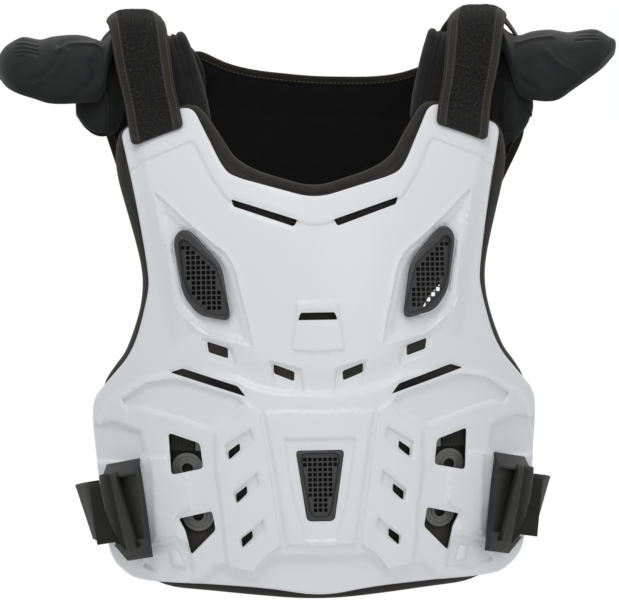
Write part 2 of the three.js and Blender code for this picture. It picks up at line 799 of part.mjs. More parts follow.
// Padded band beside the neck, under the strap, from behind the chest liner to the back liner.
function shoulderPad(side) {
  const behindChest = -(linerFace + linerThick + padBow + padThick / 2);
  const beforeBack = -(backLinerThick + 5 * seatGap + padBow + padThick / 2);
  const frontX = side * 0.83 * padSpread;
  const backX = side * 0.91 * padSpread;
  const start = offChest(frontX, plateTop - 0.27 * padDrop, behindChest);
  const tab = offChest(frontX * 1.04, plateTop + 0.06 * padDrop, behindChest - 1);
  const backStart = onTurnedBack(backX * 1.03, backTop - 0.34 * padDrop, beforeBack - 1);
  const backEnd = onTurnedBack(backX, backTop - 0.80 * padDrop, beforeBack);
  const middle = padRows.map((row) => new THREE.Vector3(
    side * row.out * padSpread,
    THREE.MathUtils.lerp(tab.y, backStart.y, row.back),
    row.rise * padDrop,
  ));
  const rolled = new THREE.Vector3(Math.cos(padRoll), 0, -side * Math.sin(padRoll));
  const acrossAt = acrossBetween(
    acrossOf(chestSurface, frontX, start.z), rolled, acrossOf(backSurface, backX, backEnd.z),
  );
  const places = bandPlaces([start, tab, ...middle, backStart, backEnd], 14, acrossAt);
  return loft(bandSections(places, padWidth, padThick, true));
}

// Shoulder cups and lobes: a curved pad whose sections are arches in Y and Z.

// Depth and middle of an arch that runs from its front edge to its room before the back plate.
function archDepth(front, room) {
  const rear = backReach - room;
  return { deep: (front + rear) / 2, centre: (rear - front) / 2 };
}

const cupInner = padSpread + cupInset;
const cupSizes = { reach: cupReach, drop: cupDrop, thick: cupThick, ...archDepth(cupFront, cupRoom) };
const lobeSizes = {
  reach: THREE.MathUtils.lerp(cupInner, cupReach, lobeShare), drop: lobeDrop, thick: lobeThick, ...archDepth(lobeFront, lobeRoom),
};

function arch(rows, side, { reach, drop, deep, thick, centre }) {
  const spokes = 8;
  const first = rows[0].out;
  const sections = rows.map((row) => {
    const outwards = (row.out - first) / (1 - first);
    const outer = [];
    const inner = [];
    for (let i = 0; i <= spokes; i += 1) {
      const angle = THREE.MathUtils.lerp(-Math.PI / 2, Math.PI / 2, i / spokes);
      const point = (shrink) => new THREE.Vector3(
        side * THREE.MathUtils.lerp(cupInner, reach, outwards),
        centre + Math.max(row.deep * deep - shrink, shrink / 2) * Math.sin(angle),
        row.crest * drop - shrink - row.drop * drop * (1 - Math.cos(angle)),
      );
      outer.push(point(0));
      inner.push(point(thick));
    }
    return side > 0 ? [...outer, ...inner.reverse()] : [...inner, ...outer.reverse()];
  });
  return loft(sections);
}

// Buckles, drawn in a frame of their own: X along the plate, Y square to it and inwards, Z up.

const buckleFront = -(buckleLift + buckleDepth);
const barInner = buckleWidth / 2 - barWide;

function buckleGroup(side) {
  const group = new THREE.Group();
  const x = side * buckleOut;
  group.position.set(x, chestSurface(x, buckleDown), buckleDown);
  group.rotation.set(0, side * buckleLean, side * buckleTurn, 'ZYX');
  group.updateMatrixWorld(true);
  return group;
}

function box(low, high) {
  const size = high.clone().sub(low);
  const geometry = new THREE.BoxGeometry(size.x, size.y, size.z);
  geometry.translate((low.x + high.x) / 2, (low.y + high.y) / 2, (low.z + high.z) / 2);
  return toSolid(geometry);
}

// A solid with this profile in Y and Z, between two places along X.
function profile(points, fromX, toX) {
  const shape = new THREE.Shape(points.map(([y, z]) => new THREE.Vector2(y, z)));
  const geometry = new THREE.ExtrudeGeometry(shape, { depth: toX - fromX, bevelEnabled: false });
  geometry.rotateX(Math.PI / 2);
  geometry.rotateZ(Math.PI / 2);
  geometry.translate(fromX, 0, 0);
  return toSolid(geometry);
}

// The frame: a bevelled block with a slot and, before the bar, a recess for the folded strap.
function buckleFrame(side) {
  const half = buckleHeight / 2;
  const body = profile([
    [-buckleLift, -half],
    [-buckleLift, half],
    [buckleFront, half - 0.8 * buckleDepth],
    [buckleFront, -half + buckleDepth],
    [-buckleLift - buckleDepth / 3, -half],
  ], -buckleWidth / 2, buckleWidth / 2);
  const room = webWidth / 2 + 2;
  const slotInner = barInner - slotWide;
  const near = (a, b) => [Math.min(side * a, side * b), Math.max(side * a, side * b)];
  const [slotLow, slotHigh] = near(slotInner, barInner);
  const [recessLow, recessHigh] = near(slotInner, buckleWidth);
  const slot = box(
    new THREE.Vector3(slotLow, 2 * buckleFront, -room),
    new THREE.Vector3(slotHigh, buckleDepth, room),
  );
  const recess = box(
    new THREE.Vector3(recessLow, 2 * buckleFront, -room),
    new THREE.Vector3(recessHigh, -buckleLift - barDeep, room),
  );
  return body.subtract(slot).subtract(recess);
}

// The lever that presses the folded strap against the bar, lying closed on the frame.
function buckleLever(side) {
  const half = leverHeight / 2;
  const back = buckleFront - seatGap;
  const front = back - leverThick;
  const inner = barInner - slotWide - leverLap;
  const fromX = side > 0 ? inner : -inner - leverWidth;
  const lever = profile([
    [back, -half],
    [back, half],
    [front + 2, half],
    [front, half - 4],
    [front, -half + 8],
    [back - 1, -half],
  ], fromX, fromX + leverWidth);
  return lever;
}

// Side strap: a short tail outside, a turn round the buckle's bar, and the way round the waist to
// the outer face of the back plate.
function sideStrap(side) {
  const group = buckleGroup(side);
  const stand = seatGap + webThick / 2;
  const frontY = -buckleLift - barDeep - stand;
  const rearY = -buckleLift + stand;
  const radius = (rearY - frontY) / 2;
  const turnX = barInner;
  const upright = new THREE.Vector3(0, 0, 1).transformDirection(group.matrixWorld);
  const local = [[tailLength + barInner, frontY - 3], [0.5 * tailLength + barInner, frontY - 1]];
  for (let i = 0; i <= 6; i += 1) {
    const angle = i / 6 * Math.PI;
    local.push([turnX - radius * Math.sin(angle), frontY + radius - radius * Math.cos(angle)]);
  }
  local.push([buckleWidth / 2, rearY]);
  const places = local.map(([x, y]) => ({
    middle: group.localToWorld(new THREE.Vector3(side * x, y, 0)),
    across: upright,
  }));
  for (const row of webRows) {
    const lean = THREE.MathUtils.degToRad(row.lean);
    places.push({
      middle: new THREE.Vector3(side * row.out * webReach, row.back * webReach, buckleDown - row.fall * webWidth),
      across: new THREE.Vector3(side * Math.sin(lean), 0, Math.cos(lean)),
    });
  }
  for (const share of [0.62, 0.5]) {
    const x = side * share * backWidth / 2;
    places.push({
      middle: onTurnedBack(x, buckleDown - webRows.at(-1).fall * webWidth, backWall + stand + 3 * strapSlack),
      across: new THREE.Vector3(0, 0, 1),
    });
  }
  places.forEach((place, i) => {
    const before = places[Math.max(i - 1, 0)].middle;
    const after = places[Math.min(i + 1, places.length - 1)].middle;
    const along = after.clone().sub(before).normalize();
    place.out = new THREE.Vector3().crossVectors(place.across, along).normalize();
  });
  return loft(bandSections(places, webWidth, webThick, false));
}

const parts = new THREE.Group();

const finishes = {
  shell: { color: 0xe9eaec, roughness: 0.36 },
  liner: { color: 0x2e2b28, roughness: 0.9 },
  vent: { color: 0x3e3f40, roughness: 0.55 },
  strap: { color: 0x262422, roughness: 0.95 },
  pad: { color: 0x29292a, roughness: 0.88 },
  cup: { color: 0x2c2d2e, roughness: 0.82 },
  buckle: { color: 0x3a3a38, roughness: 0.5 },
  bracket: { color: 0x6e6e6c, roughness: 0.5 },
};

function add(name, finish, geometry, parent = parts) {
  const material = new THREE.MeshStandardMaterial({ ...finishes[finish], metalness: 0 });
  const mesh = new THREE.Mesh(geometry, material);
  mesh.name = name;
  parent.add(mesh);
  return mesh;
}

add('chest_shell', 'shell', toGeometry(chestShell()));
add('chest_liner', 'liner', toGeometry(chestLiner()));
add('belly_vent', 'vent', toGeometry(bellyVentSolid()));

parts.add(backGroup);
for (const [name, finish, solid] of [
  ['back_shell', 'shell', backShell()],
  ['back_liner', 'liner', backLiner()],
]) {
  const geometry = toGeometry(solid);
  geometry.translate(0, 0, -backPivot);
  add(name, finish, geometry, backGroup);
}

const cupTables = {
  left: { cup: leftCupRows, lobe: leftLobeRows },
  right: { cup: rightCupRows, lobe: rightLobeRows },
};

for (const [word, side] of Object.entries(sideOf)) {
  add(`chest_vent_${word}`, 'vent', toGeometry(chestVentOf(side)));
  add(`strap_bracket_${word}`, 'bracket', toGeometry(bracket(side)));
  add(`shoulder_strap_${word}`, 'strap', toGeometry(shoulderStrap(side)));
  add(`shoulder_pad_${word}`, 'pad', toGeometry(shoulderPad(side)));
  const { cup, lobe } = cupTables[word];
  add(`shoulder_cup_${word}`, 'cup', toGeometry(arch(cup, side, cupSizes)));
  add(`shoulder_lobe_${word}`, 'cup', toGeometry(arch(lobe, side, lobeSizes)));
  const group = buckleGroup(side);
  parts.add(group);
  add(`buckle_frame_${word}`, 'buckle', toGeometry(buckleFrame(side)), group);
  add(`buckle_lever_${word}`, 'buckle', toGeometry(buckleLever(side)), group);
  add(`side_strap_${word}`, 'strap', toGeometry(sideStrap(side)));
}

export default parts;
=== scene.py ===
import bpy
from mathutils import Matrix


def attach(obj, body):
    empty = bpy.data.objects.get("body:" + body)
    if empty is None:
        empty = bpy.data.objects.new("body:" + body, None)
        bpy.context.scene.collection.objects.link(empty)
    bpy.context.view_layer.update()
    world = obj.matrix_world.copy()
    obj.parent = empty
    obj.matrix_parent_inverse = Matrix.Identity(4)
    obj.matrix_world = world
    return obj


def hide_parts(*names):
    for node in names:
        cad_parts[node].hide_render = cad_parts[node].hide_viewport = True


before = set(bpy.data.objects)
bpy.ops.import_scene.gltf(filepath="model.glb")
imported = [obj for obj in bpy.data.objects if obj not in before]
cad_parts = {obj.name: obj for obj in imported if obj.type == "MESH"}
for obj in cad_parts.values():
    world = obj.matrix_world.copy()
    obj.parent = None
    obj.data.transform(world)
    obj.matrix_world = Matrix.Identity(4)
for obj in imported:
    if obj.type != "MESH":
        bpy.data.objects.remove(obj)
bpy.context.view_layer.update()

import math

import bpy
import numpy as np
from mathutils import Matrix, Vector, geometry, kdtree

# A worn roost deflector. Lengths are in millimetres until a mesh is made.
MM = 0.001
SIDES = {"left": -1, "right": 1}

# Sizes of the solids
PLATE_WIDTH, PLATE_HEIGHT, PLATE_TOP, PLATE_WALL = 380, 412, -63, 3.6
CHEST_REACH, CHEST_WRAP = 136, 108
BACK_WIDTH, BACK_HEIGHT, BACK_TOP, BACK_WALL = 380, 432, -10, 3.4
BACK_REACH, BACK_WRAP = 134, 62
BACK_PIVOT, BACK_TURN = -140, math.radians(4)
EDGE_ROUND = 16
LINER_FACE, LINER_THICK, BACK_LINER_THICK = 5.52, 8, 10
STRAP_WIDTH, STRAP_THICK, STRAP_SPREAD, STRAP_RISE = 48, 3, 150, 24
PAD_WIDTH, PAD_THICK, PAD_SPREAD, PAD_DROP, PAD_ROLL = 50, 12, 130, 78, math.radians(13)
PAD_BOW = 3.55
CUP = {"reach": 268, "drop": 58, "deep": 62, "thick": 9, "centre": 24, "rear_rise": 10}
LOBE = {"reach": 204, "drop": 84, "deep": 34, "thick": 6, "centre": 12, "rear_rise": 0}
WEB_WIDTH, WEB_THICK, WEB_REACH = 50, 2.2, 200
BUCKLE_HEIGHT, BUCKLE_WIDTH, BUCKLE_DEPTH = 84, 38, 15
BUCKLE_OUT, BUCKLE_DOWN, BUCKLE_LIFT = 156, -404, 4.25
BUCKLE_TURN, BUCKLE_LEAN = math.radians(40), math.radians(9)
BAR_WIDE, BAR_DEEP, TAIL = 7, 6, 20
DISC_RADIUS, DISC_BORE, BRACKET_THICK = 13.5, 4.7, 4
GAP, SLACK = 0.3, 0.6

# Finer sizes that only the looks have
PLATE_RIM, HOLE_RIM = 1.7, 0.9
GRILLE_PITCH, GRILLE_HOLE, GRILLE_SUNK, GRILLE_THICK = 4.2, 3.15, 3.4, 1.8
SEAM_IN, QUILT_PITCH = 8.2, 26
LINK_TURN = 0.55
STRAP_HEM, STRAP_CORNER = 9, 4
# Sewn seams of a padded band: depth, half width, distance from its edge beside the neck
PAD_SEAMS = [(2.0, 1.3, 8), (1.6, 1.2, 13)]

# The view that the creases are drawn in, which is the camera's: the point looked at, the distance from it,
# the turn and roll, the length of a step and the steps at the middle
VIEW_AIM, VIEW_AWAY = (-4.7, -80, -229), 2600
VIEW_TURN, VIEW_ROLL = math.radians(1.99), math.radians(0.947)
VIEW_STEP, VIEW_MIDDLE = 0.84, (315.09, 300)

# Curves of the two plates from the top down: place, reach of the middle and wrap of the sides
CHEST_ROWS = np.array([
    (-0.12, 0.36, 0.40), (0.00, 0.59, 0.54), (0.09, 0.74, 0.63), (0.19, 0.86, 0.74), (0.28, 0.93, 0.83),
    (0.43, 0.985, 0.93), (0.62, 1.00, 0.98), (0.82, 0.955, 1.00), (1.01, 0.855, 1.00), (1.12, 0.79, 0.98),
])
BACK_ROWS = np.array([
    (-0.10, 0.56, 0.80), (0.00, 0.68, 0.88), (0.12, 0.86, 0.96), (0.26, 0.97, 1.00), (0.42, 1.00, 1.00),
    (0.62, 0.91, 0.94), (0.80, 0.84, 0.90), (1.00, 0.86, 0.88), (1.10, 0.88, 0.88),
])

# Outlines of one half, as shares of the plate's half width and height, and of EDGE_ROUND
PLATE_EDGE = [
    (0.000, 0.200, 1.0), (0.363, 0.150, 1.0), (0.405, 0.126, 0.6), (0.532, -0.001, 0.7),
    (0.853, 0.045, 0.6), (0.784, 0.197, 2.0), (0.733, 0.345, 2.0), (0.737, 0.386, 2.0),
    (0.805, 0.500, 1.5), (0.937, 0.568, 1.0), (0.992, 0.597, 1.0), (1.003, 0.638, 1.2),
    (0.979, 0.755, 2.0), (0.942, 0.905, 1.4), (0.905, 0.944, 1.2), (0.821, 0.973, 1.2),
    (0.484, 0.976, 1.2), (0.232, 0.982, 2.0), (0.000, 1.000, 2.0),
]
LINER_EDGE = [
    (0.000, 0.176, 1.0), (0.326, 0.129, 2.0), (0.421, 0.051, 1.5), (0.511, -0.010, 0.8),
    (0.860, 0.040, 0.8), (0.884, 0.119, 1.5), (0.779, 0.294, 2.0), (0.758, 0.355, 2.0),
    (0.772, 0.415, 2.0), (0.837, 0.500, 2.0), (0.900, 0.535, 1.2), (0.953, 0.572, 1.0),
    (0.930, 0.905, 1.5), (0.726, 0.985, 1.5), (0.463, 0.991, 1.0), (0.000, 1.008, 2.0),
]
BACK_EDGE = [
    (0.000, 0.042, 1.0), (0.360, 0.036, 2.0), (0.560, 0.002, 0.7), (0.660, 0.040, 1.0),
    (0.985, 0.118, 1.2), (0.990, 0.150, 1.0), (0.820, 0.342, 2.0), (0.740, 0.415, 2.0),
    (0.560, 0.505, 2.0), (0.510, 0.660, 2.0), (0.600, 0.830, 2.0), (0.645, 0.920, 2.0),
    (0.560, 0.975, 1.8), (0.000, 1.000, 2.0),
]
COLLAR_SLOT = [(0.078, 0.242), (0.366, 0.197), (0.355, 0.212), (0.096, 0.255)]
RIB_SLOTS = [
    [(0.481, 0.483), (0.390, 0.497), (0.390, 0.518), (0.474, 0.505)],
    [(0.195, 0.530), (0.104, 0.546), (0.106, 0.565), (0.193, 0.549)],
    [(0.644, 0.545), (0.589, 0.537), (0.351, 0.573), (0.317, 0.594)],
    [(0.397, 0.704), (0.346, 0.687), (0.344, 0.702), (0.393, 0.721)],
    [(0.367, 0.791), (0.318, 0.773), (0.316, 0.789), (0.362, 0.809)],
    [(0.345, 0.880), (0.297, 0.863), (0.295, 0.879), (0.341, 0.899)],
]
STERNUM_SLOT = [(0.074, 0.428), (0.086, 0.443)]
UPPER_WINDOW = [(0.657, 0.667), (0.519, 0.688), (0.506, 0.739), (0.647, 0.753)]
LOWER_WINDOW = [(0.618, 0.842), (0.471, 0.825), (0.456, 0.864), (0.565, 0.916), (0.589, 0.867)]
CHEST_VENT = [
    (0.624, 0.279), (0.597, 0.257), (0.547, 0.257), (0.411, 0.330), (0.374, 0.444), (0.518, 0.430),
    (0.584, 0.388),
]
CHEST_MESH = [(0.582, 0.282), (0.450, 0.336), (0.400, 0.425), (0.463, 0.420), (0.539, 0.388), (0.566, 0.353)]
BELLY_VENT = [(0.106, 0.703), (0.060, 0.846)]
BELLY_MESH = [(0.072, 0.716), (0.030, 0.830)]
DISC_SEATS = [(0.576, 0.741), (0.532, 0.835)]

# Ends of the straps and bands: out and down, as shares of the sizes that they follow
STRAP_TAB, STRAP_BACK, TAB_LIFT = (0.845, 0.062), (0.90, 0.20), 1.9
PAD_TAB, PAD_BACK = (0.83, 0.27), (0.91, 0.80)

# Middle lines of the straps, bands and side straps
STRAP_ROWS = [
    (0.925, 0.06, -1.00), (0.965, 0.20, 0.45), (0.995, 0.38, 0.95), (1.000, 0.58, 1.00),
    (0.990, 0.80, 0.80), (0.960, 0.97, 0.00),
]
PAD_ROWS = [(0.94, 0.24, -0.30), (0.985, 0.44, -0.094), (1.00, 0.64, -0.055), (0.99, 0.83, -0.16)]
WEB_ROWS = [
    (0.950, -0.135, 8, 0.06), (0.982, 0.02, 15, 0.10), (1.000, 0.20, 18, 0.14), (0.965, 0.32, 14, 0.14),
    (0.880, 0.43, 9, 0.12), (0.745, 0.53, 4, 0.10),
]
# Sections of the cups and lobes: out, crest, drop, deep
CUP_ROWS = {
    "left": [
        (0.545, 0.335, 0.05, 0.26), (0.592, 0.325, 0.06, 0.40), (0.630, 0.130, 0.38, 0.80),
        (0.665, 0.000, 0.82, 0.90), (0.715, 0.045, 0.95, 0.98), (0.820, 0.060, 0.98, 1.00),
        (0.880, 0.040, 0.87, 0.94), (0.935, 0.020, 0.75, 0.84), (0.972, -0.050, 0.56, 0.66),
        (0.995, -0.170, 0.30, 0.42), (1.006, -0.260, 0.16, 0.24),
    ],
    "right": [
        (0.545, 0.335, 0.05, 0.26), (0.592, 0.325, 0.06, 0.40), (0.630, 0.130, 0.40, 0.80),
        (0.670, 0.010, 0.86, 0.90), (0.725, 0.030, 1.00, 0.98), (0.790, 0.045, 1.02, 1.00),
        (0.845, 0.045, 0.86, 0.93), (0.900, 0.045, 0.68, 0.80), (0.950, 0.040, 0.50, 0.64),
        (0.988, -0.040, 0.24, 0.40), (1.008, -0.075, 0.10, 0.18),
    ],
}
LOBE_ROWS = {
    "left": [
        (0.716, 0.086, 0.30, 0.32), (0.770, 0.020, 0.62, 0.42), (0.814, -0.100, 0.78, 0.62),
        (0.862, -0.170, 0.78, 0.96), (0.912, -0.200, 0.74, 1.00), (0.956, -0.260, 0.60, 0.92),
        (0.985, -0.380, 0.38, 0.76),
    ],
    "right": [
        (0.716, 0.086, 0.30, 0.32), (0.770, 0.020, 0.62, 0.42), (0.806, -0.090, 0.80, 0.60),
        (0.850, -0.170, 0.94, 0.98), (0.890, -0.200, 0.84, 1.00), (0.925, -0.260, 0.66, 0.90),
        (0.952, -0.380, 0.40, 0.74),
    ],
}


# Surfaces of the plates

def read_row(rows, column, down):
    """A column of a table on a smooth curve through its rows."""
    down = np.asarray(down, float)
    at = rows[:, 0]
    last = len(rows) - 1
    low = np.clip(np.searchsorted(at, down, side="right") - 1, 0, last - 1)
    span = at[low + 1] - at[low]
    share = np.clip((down - at[low]) / span, 0, 1)

    def slope(index):
        before = np.clip(index - 1, 0, last)
        after = np.clip(index + 1, 0, last)
        return (rows[after, column] - rows[before, column]) / (at[after] - at[before]) * span

    square, cube = share ** 2, share ** 3
    return (
        rows[low, column] * (2 * cube - 3 * square + 1) + slope(low) * (cube - 2 * square + share)
        + rows[low + 1, column] * (3 * square - 2 * cube) + slope(low + 1) * (cube - square)
    )


def chest_surface(x, z):
    down = (PLATE_TOP - z) / PLATE_HEIGHT
    across = x / (PLATE_WIDTH / 2)
    wrap = CHEST_WRAP * read_row(CHEST_ROWS, 2, down)
    return wrap * across ** 2 - CHEST_REACH * read_row(CHEST_ROWS, 1, down)


def back_surface(x, z):
    down = (BACK_TOP - z) / BACK_HEIGHT
    across = x / (BACK_WIDTH / 2)
    wrap = BACK_WRAP * read_row(BACK_ROWS, 2, down)
    return BACK_REACH * read_row(BACK_ROWS, 1, down) - wrap * across ** 2


def steepness(surface, x, z):
    slope_x = (surface(x + 1, z) - surface(x - 1, z)) / 2
    slope_z = (surface(x, z + 1) - surface(x, z - 1)) / 2
    return np.sqrt(1 + slope_x ** 2 + slope_z ** 2)


def turned_back(points):
    """Turns points of the back plate as it hangs on the wearer."""
    points = np.array(points, float).reshape(-1, 3)
    x, z = points[:, 0].copy(), points[:, 2] - BACK_PIVOT
    cos, sin = math.cos(BACK_TURN), math.sin(BACK_TURN)
    points[:, 0] = x * cos + z * sin
    points[:, 2] = -x * sin + z * cos + BACK_PIVOT
    return points


def on_plate(rows, width=PLATE_WIDTH, height=PLATE_HEIGHT, top=PLATE_TOP):
    return [(row[0] * width / 2, top - row[1] * height, *(r * EDGE_ROUND for r in row[2:])) for row in rows]


def on_back(rows):
    return on_plate(rows, BACK_WIDTH, BACK_HEIGHT, BACK_TOP)


# Outlines, and sheets cut along them

def mirrored(corners):
    return [(-corner[0], *corner[1:]) for corner in corners][::-1]


def both_halves(corners):
    off = [corner for corner in corners if abs(corner[0]) > 1e-6]
    middle = [corner for corner in corners if abs(corner[0]) <= 1e-6]
    if len(middle) < 2:
        return [*corners, *mirrored(corners)]
    return [middle[0], *off, middle[1], *mirrored(off)]


def on_side(corners, side):
    return list(corners) if side > 0 else mirrored(corners)


def rounded(corners, radius=0.0, steps=6):
    """A ring of points with its corners rounded."""
    ring = []
    count = len(corners)
    for i, corner in enumerate(corners):
        here = np.array(corner[:2], float)
        reach = corner[2] if len(corner) > 2 else radius
        ends = []
        for other in (corners[i - 1], corners[(i + 1) % count]):
            way = np.array(other[:2], float) - here
            length = np.linalg.norm(way)
            ends.append(here + way * min(reach / max(length, 1e-6), 0.45))
        if reach <= 0:
            ring.append(here)
            continue
        for step in range(steps + 1):
            t = step / steps
            ring.append((1 - t) ** 2 * ends[0] + 2 * t * (1 - t) * here + t ** 2 * ends[1])
    return np.array(ring)


def spaced(line, spacing, closed=True):
    """Splits the long stretches of a line."""
    points = []
    count = len(line)
    for i in range(count if closed else count - 1):
        a, b = line[i], line[(i + 1) % count]
        pieces = max(1, int(math.ceil(np.linalg.norm(b - a) / spacing)))
        points += [a + (b - a) * k / pieces for k in range(pieces)]
    if not closed:
        points.append(line[-1])
    return np.array(points)


def turn_of(ring):
    return np.sign(np.sum(ring[:, 0] * np.roll(ring[:, 1], -1) - np.roll(ring[:, 0], -1) * ring[:, 1]))


def inset(ring, by):
    """Moves a ring inwards."""
    before = ring - np.roll(ring, 1, axis=0)
    after = np.roll(ring, -1, axis=0) - ring
    before = before / np.maximum(np.linalg.norm(before, axis=1), 1e-9)[:, None]
    after = after / np.maximum(np.linalg.norm(after, axis=1), 1e-9)[:, None]
    spread = np.maximum(1 + np.sum(before * after, axis=1), 0.5)
    both = before + after
    way = np.stack([-both[:, 1], both[:, 0]], axis=1) * turn_of(ring)
    return ring + way * (by / spread)[:, None]


def line_distance(points, line, closed=True):
    """Distance of each point from a line of points."""
    best = np.full(len(points), 1e9)
    count = len(line)
    for i in range(count if closed else count - 1):
        a, b = line[i], line[(i + 1) % count]
        way = b - a
        length = max(way @ way, 1e-12)
        share = np.clip(((points - a) @ way) / length, 0, 1)
        best = np.minimum(best, np.sum((points - a - share[:, None] * way) ** 2, axis=1))
    return np.sqrt(best)


def inside(points, ring):
    odd = np.zeros(len(points), bool)
    for a, b in zip(ring, np.roll(ring, -1, axis=0)):
        if a[1] == b[1]:
            continue
        crosses = (a[1] > points[:, 1]) != (b[1] > points[:, 1])
        at = a[0] + (points[:, 1] - a[1]) * (b[0] - a[0]) / (b[1] - a[1])
        odd ^= crosses & (points[:, 0] < at)
    return odd


def depth_in(points, ring, reach=1e9):
    """How far inside a ring each point is; below zero outside. Far points stop at reach."""
    low, high = ring.min(0) - reach, ring.max(0) + reach
    near = np.all((points >= low) & (points <= high), axis=1) if reach < 1e8 else np.ones(len(points), bool)
    depth = np.full(len(points), -reach)
    if near.any():
        some = points[near]
        depth[near] = np.where(inside(some, ring), 1, -1) * line_distance(some, ring)
    return depth


def cut_sheet(outline, holes=(), rings=(), lines=(), spacing=4.0, edge_spacing=2.5, merge=0.02):
    """Triangles of a flat sheet with this outline and these holes, with its edges along the given lines."""
    points, edges = [], []

    def lay(line, closed=True):
        line = spaced(np.asarray(line, float), edge_spacing, closed)
        start = len(points)
        points.extend(line.tolist())
        count = len(line)
        edges.extend((start + i, start + (i + 1) % count) for i in range(count if closed else count - 1))

    lay(outline)
    for ring in [*holes, *rings]:
        lay(ring)
    for line in lines:
        lay(line, False)
    near = kdtree.KDTree(len(points))
    for index, point in enumerate(points):
        near.insert((point[0], point[1], 0), index)
    near.balance()
    low, high = outline.min(0), outline.max(0)
    grid = []
    rows = int((high[1] - low[1]) / (spacing * 0.87)) + 1
    for row in range(rows):
        z = low[1] + row * spacing * 0.87
        start = low[0] + (row % 2) * spacing / 2
        for x in np.arange(start, high[0], spacing):
            if near.find((x, z, 0))[2] > spacing * 0.45:
                grid.append((x, z))
    points.extend(grid)
    made = geometry.delaunay_2d_cdt([Vector(p) for p in points], edges, [], 0, merge)
    flat = np.array([tuple(p) for p in made[0]])
    faces = np.array([face for face in made[2]], int)
    middle = flat[faces].mean(axis=1)
    keep = inside(middle, outline)
    for hole in holes:
        keep &= ~inside(middle, np.asarray(hole))
    corner = flat[faces]
    area = np.cross(corner[:, 1] - corner[:, 0], corner[:, 2] - corner[:, 0])
    faces = faces[keep & (np.abs(area) > 1e-7)]
    area = area[keep & (np.abs(area) > 1e-7)]
    faces[area < 0] = faces[area < 0][:, ::-1]
    used, faces = np.unique(faces, return_inverse=True)
    return flat[used], faces.reshape(-1, 3)


def walled(flat, faces, front_y, rear_y):
    """A closed wall between two surfaces, from the flat triangles."""
    count = len(flat)
    front = np.stack([flat[:, 0], front_y, flat[:, 1]], axis=1)
    rear = np.stack([flat[:, 0], rear_y, flat[:, 1]], axis=1)
    rim = {}
    for face in faces.tolist():
        for a, b in zip(face, face[1:] + face[:1]):
            if (b, a) in rim:
                del rim[(b, a)]
            else:
                rim[(a, b)] = True
    made = faces.tolist() + (faces[:, ::-1] + count).tolist()
    made += [[b, a, a + count, b + count] for a, b in rim]
    return np.concatenate([front, rear]), made


def ramp(depth, width):
    share = np.clip(depth / width, 0, 1)
    return share * share * (3 - 2 * share)


def volume_of(points, faces):
    total = 0.0
    for face in faces:
        for i in range(1, len(face) - 1):
            total += points[face[0]] @ np.cross(points[face[i]], points[face[i + 1]])
    return total


def outwards(points, faces):
    """Turns the faces of a closed form outwards."""
    points = np.array(points, float)
    if volume_of(points, faces) < 0:
        faces = [face[::-1] for face in faces]
    return points, faces


def tube_faces(rings, size):
    """Faces between rings of points that lie one after the other."""
    faces = []
    for s in range(rings - 1):
        for i in range(size):
            a, b = s * size + i, s * size + (i + 1) % size
            faces.append([a, b, b + size, a + size])
    return faces


def capped_tube(points, rings, size):
    """A closed tube through rings of points."""
    last = (rings - 1) * size
    faces = tube_faces(rings, size)
    faces += [list(range(size))[::-1], list(range(last, last + size))]
    return outwards(points, faces)


def rim_round(depth, radius):
    """How far a surface falls towards its rounded rim."""
    short = np.clip(radius - depth, 0, radius)
    return radius - np.sqrt(np.maximum(radius ** 2 - short ** 2, 0))


# Pieces

def make_piece(name, points, faces, material, nodes, sharp=40, values=None, uv=None):
    """Makes a mesh object, in metres, that stands for the named solids."""
    mesh = bpy.data.meshes.new(name)
    mesh.from_pydata((np.asarray(points, float) * MM).tolist(), [], [list(map(int, face)) for face in faces])
    mesh.materials.append(material)
    mesh.polygons.foreach_set("use_smooth", [True] * len(mesh.polygons))
    if sharp:
        mesh.set_sharp_from_angle(angle=math.radians(sharp))
    for key, value in (values or {}).items():
        attribute = mesh.attributes.new(key, "FLOAT", "POINT")
        attribute.data.foreach_set("value", np.asarray(value, np.float32))
    if uv is not None:
        layer = mesh.uv_layers.new(name="UVMap")
        loops = np.empty(len(mesh.loops), int)
        mesh.loops.foreach_get("vertex_index", loops)
        layer.data.foreach_set("uv", np.asarray(uv, np.float32)[loops].ravel())
    obj = bpy.data.objects.new(name, mesh)
    bpy.context.scene.collection.objects.link(obj)
    return settle(obj, nodes)


def loose_object(name, points, faces):
    mesh = bpy.data.meshes.new(name)
    mesh.from_pydata([tuple(p) for p in points], [], faces)
    obj = bpy.data.objects.new(name, mesh)
    bpy.context.scene.collection.objects.link(obj)
    return obj


def settle(obj, nodes):
    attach(obj, "root")
    if nodes:
        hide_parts(*nodes)
    return obj


# Materials

def node_group(name, inputs, outputs):
    tree = bpy.data.node_groups.new(name, "ShaderNodeTree")
    for label, kind, value in inputs:
        socket = tree.interface.new_socket(name=label, in_out="INPUT", socket_type=kind)
        socket.default_value = value
    for label, kind in outputs:
        tree.interface.new_socket(name=label, in_out="OUTPUT", socket_type=kind)
    return tree, tree.nodes.new("NodeGroupInput"), tree.nodes.new("NodeGroupOutput")


def feed(tree, socket, value):
    """Links a socket into another, or sets its value."""
    if isinstance(value, bpy.types.NodeSocket):
        tree.links.new(value, socket)
    else:
        socket.default_value = value


def wired(tree, kind, settings=None, **links):
    """Adds a node, sets its fields, and links or sets its inputs by name or number."""
    node = tree.nodes.new(kind)
    for key, value in (settings or {}).items():
        setattr(node, key, value)
    for key, value in links.items():
        numbered = key[0] == "i" and key[1:].isdigit()
        feed(tree, node.inputs[int(key[1:]) if numbered else key.replace("_", " ")], value)
    return node


def maths(tree, operation, a, b=0.0, c=0.0):
    return wired(tree, "ShaderNodeMath", {"operation": operation}, i0=a, i1=b, i2=c).outputs[0]


